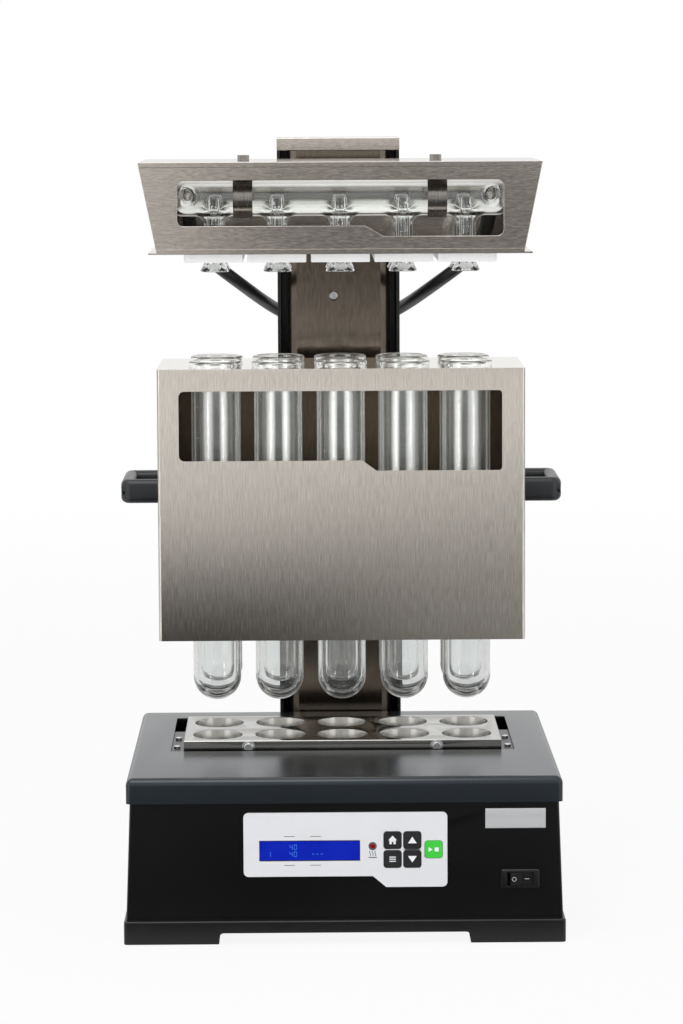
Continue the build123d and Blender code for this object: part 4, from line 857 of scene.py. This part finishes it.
def cardFinish(name, letter, low, high, stops, rightStops=None, strength=1.0):
    # a card that only gloss sees, its grey running along one axis, and on the floor differing left and right
    f = Finish(name)
    along = f.add("ShaderNodeMapRange", {}, {"Value": f.axis(letter), "From Min": low, "From Max": high})
    tones = []
    for row in (stops, rightStops or stops):
        greys = [((place - low) / (high - low), (grey, grey * 0.985, grey * 0.955)) for place, grey in row]
        tones.append(f.add("ShaderNodeValToRGB", {"stops": greys}, {0: along}))
    tone = f.tint(f.axis("X").step(-0.2, 0.34), *tones)
    glow = f.add("ShaderNodeEmission", {}, {"Color": tone, "Strength": strength})
    f.add("ShaderNodeOutputMaterial", {}, {"Surface": glow})
    return f.material


def glossOnly(piece):
    piece.visible_camera = False
    piece.visible_diffuse = False
    piece.visible_shadow = False
    piece.visible_transmission = False
    piece.visible_volume_scatter = False


half, drop = stageSettings["floorSize"] / 2, -stageSettings["floorDrop"]
flat("floor", [(-half, -half, drop), (half, -half, drop), (half, half, drop), (-half, half, drop)],
     floorFinish())

cardSettings = {
    # greys of the cards, each at a place along the card's axis, in metres
    "floorLeft": [(-3.4, 0.84), (-3.1, 0.72), (-2.7, 0.68), (-2.27, 0.44), (-2.08, 0.22), (-1.9, 0.12),
                  (-1.6, 0.02), (-1.2, 0.0), (-0.24, 0.01)],
    "floorRight": [(-3.4, 0.64), (-3.1, 0.57), (-2.7, 0.5), (-2.27, 0.36), (-1.9, 0.28), (-1.6, 0.26),
                   (-1.2, 0.16), (-0.24, 0.01)],
    "low": [(0.0, 0.84), (0.26, 1.0)],
    "wall": [(-3.0, 0.9), (-0.36, 0.7), (-0.22, 0.36), (-0.05, 0.07), (0.2, 0.08), (0.42, 0.1), (1.0, 0.3),
             (3.0, 0.6)],
    "high": [(-3.0, 0.9), (3.0, 0.8)],
    "glow": [(0.1, 1.0), (1.9, 1.0)],
    "near": -0.24, "far": -3.4, "nearHalf": 0.35, "farHalf": 0.8,  # the floor card
    "wallY": -3.6, "wallHalf": 3.0, "levels": (0.0, 0.26, 0.64, 2.6),  # three wall cards, one on another
    "glowPlace": 2.12, "glowReach": 0.5, "glowStrength": {-1: 1.6, 1: 1.5},
}


def makeCards():
    s = cardSettings
    near, far, nearHalf, farHalf = s["near"], s["far"], s["nearHalf"], s["farHalf"]
    finish = cardFinish("floorCard", "Y", far, near, s["floorLeft"], s["floorRight"])
    glossOnly(flat("floorCard", [(-farHalf, far, 0.0), (farHalf, far, 0.0), (nearHalf, near, 0.0),
                                 (-nearHalf, near, 0.0)], finish))
    y, wide = s["wallY"], s["wallHalf"]
    kinds = (("low", "Z"), ("wall", "X"), ("high", "X"))
    for (kind, letter), low, high in zip(kinds, s["levels"], s["levels"][1:]):
        start, end = (low, high) if letter == "Z" else (-wide, wide)
        name = kind + "Card"
        finish = cardFinish(name, letter, start, end, s[kind])
        glossOnly(flat(name, [(-wide, y, low), (wide, y, low), (wide, y, high), (-wide, y, high)], finish))
    place, reach = s["glowPlace"], s["glowReach"]
    bottom, top = s["glow"][0][0], s["glow"][-1][0]
    for name, side in (("leftGlow", -1), ("rightGlow", 1)):
        # tall panels beside the camera, whose reflections run down the glass
        inner, outer = (side * (place - reach), -place - reach), (side * (place + reach), -place + reach)
        finish = cardFinish(name, "Z", bottom, top, s["glow"], strength=s["glowStrength"][side])
        glossOnly(flat(name, [(*inner, bottom), (*outer, bottom), (*outer, top), (*inner, top)], finish))


makeCards()


def softbox(name, place, aim, size, power, mirrored):
    lamp = bpy.data.lights.new(name, "AREA")
    lamp.shape = "RECTANGLE"
    lamp.size, lamp.size_y = size
    lamp.energy = power
    lampObject = bpy.data.objects.new(name, lamp)
    lampObject.location = place
    lampObject.rotation_euler = (Vector(aim) - Vector(place)).to_track_quat("-Z", "Y").to_euler()
    lampObject.visible_glossy = mirrored
    scene.collection.objects.link(lampObject)


lampSettings = {
    # lamp: (place, what it aims at, size, power, whether metal and glass mirror it)
    "keyLamp": ((-0.5, -1.0, 2.4), (0.0, 0.0, 0.3), (1.8, 1.4), 21.0, True),
    "leftStrip": ((-1.9, -2.3, 0.75), (0.0, 0.0, 0.45), (0.3, 1.5), 20.0, False),
    "rightStrip": ((1.9, -2.3, 0.75), (0.0, 0.0, 0.45), (0.22, 1.5), 15.0, False),
}
for name, values in lampSettings.items():
    softbox(name, *values)
print("lamps ready", len(lampSettings))

world = bpy.data.worlds.new("studio")
scene.world = world
sky = Finish("studio", world)
rays = [sky.add("ShaderNodeLightPath", out=f"Is {kind} Ray") for kind in ("Camera", "Glossy", "Transmission")]
seen = (rays[0] + rays[1] + rays[2]).least(1.0)  # these see a white room, and what is lit gets a dimmer one
dim = sky.add("ShaderNodeBackground", {}, {"Color": (1.0, 1.0, 1.0, 1.0), "Strength": stageSettings["sky"]})
white = sky.add("ShaderNodeBackground", {}, {"Color": (1.0, 1.0, 1.0, 1.0), "Strength": 1.0})
room = sky.add("ShaderNodeMixShader", {}, {0: seen, 1: dim, 2: white})
sky.add("ShaderNodeOutputWorld", {}, {"Surface": room})
print("stage ready")
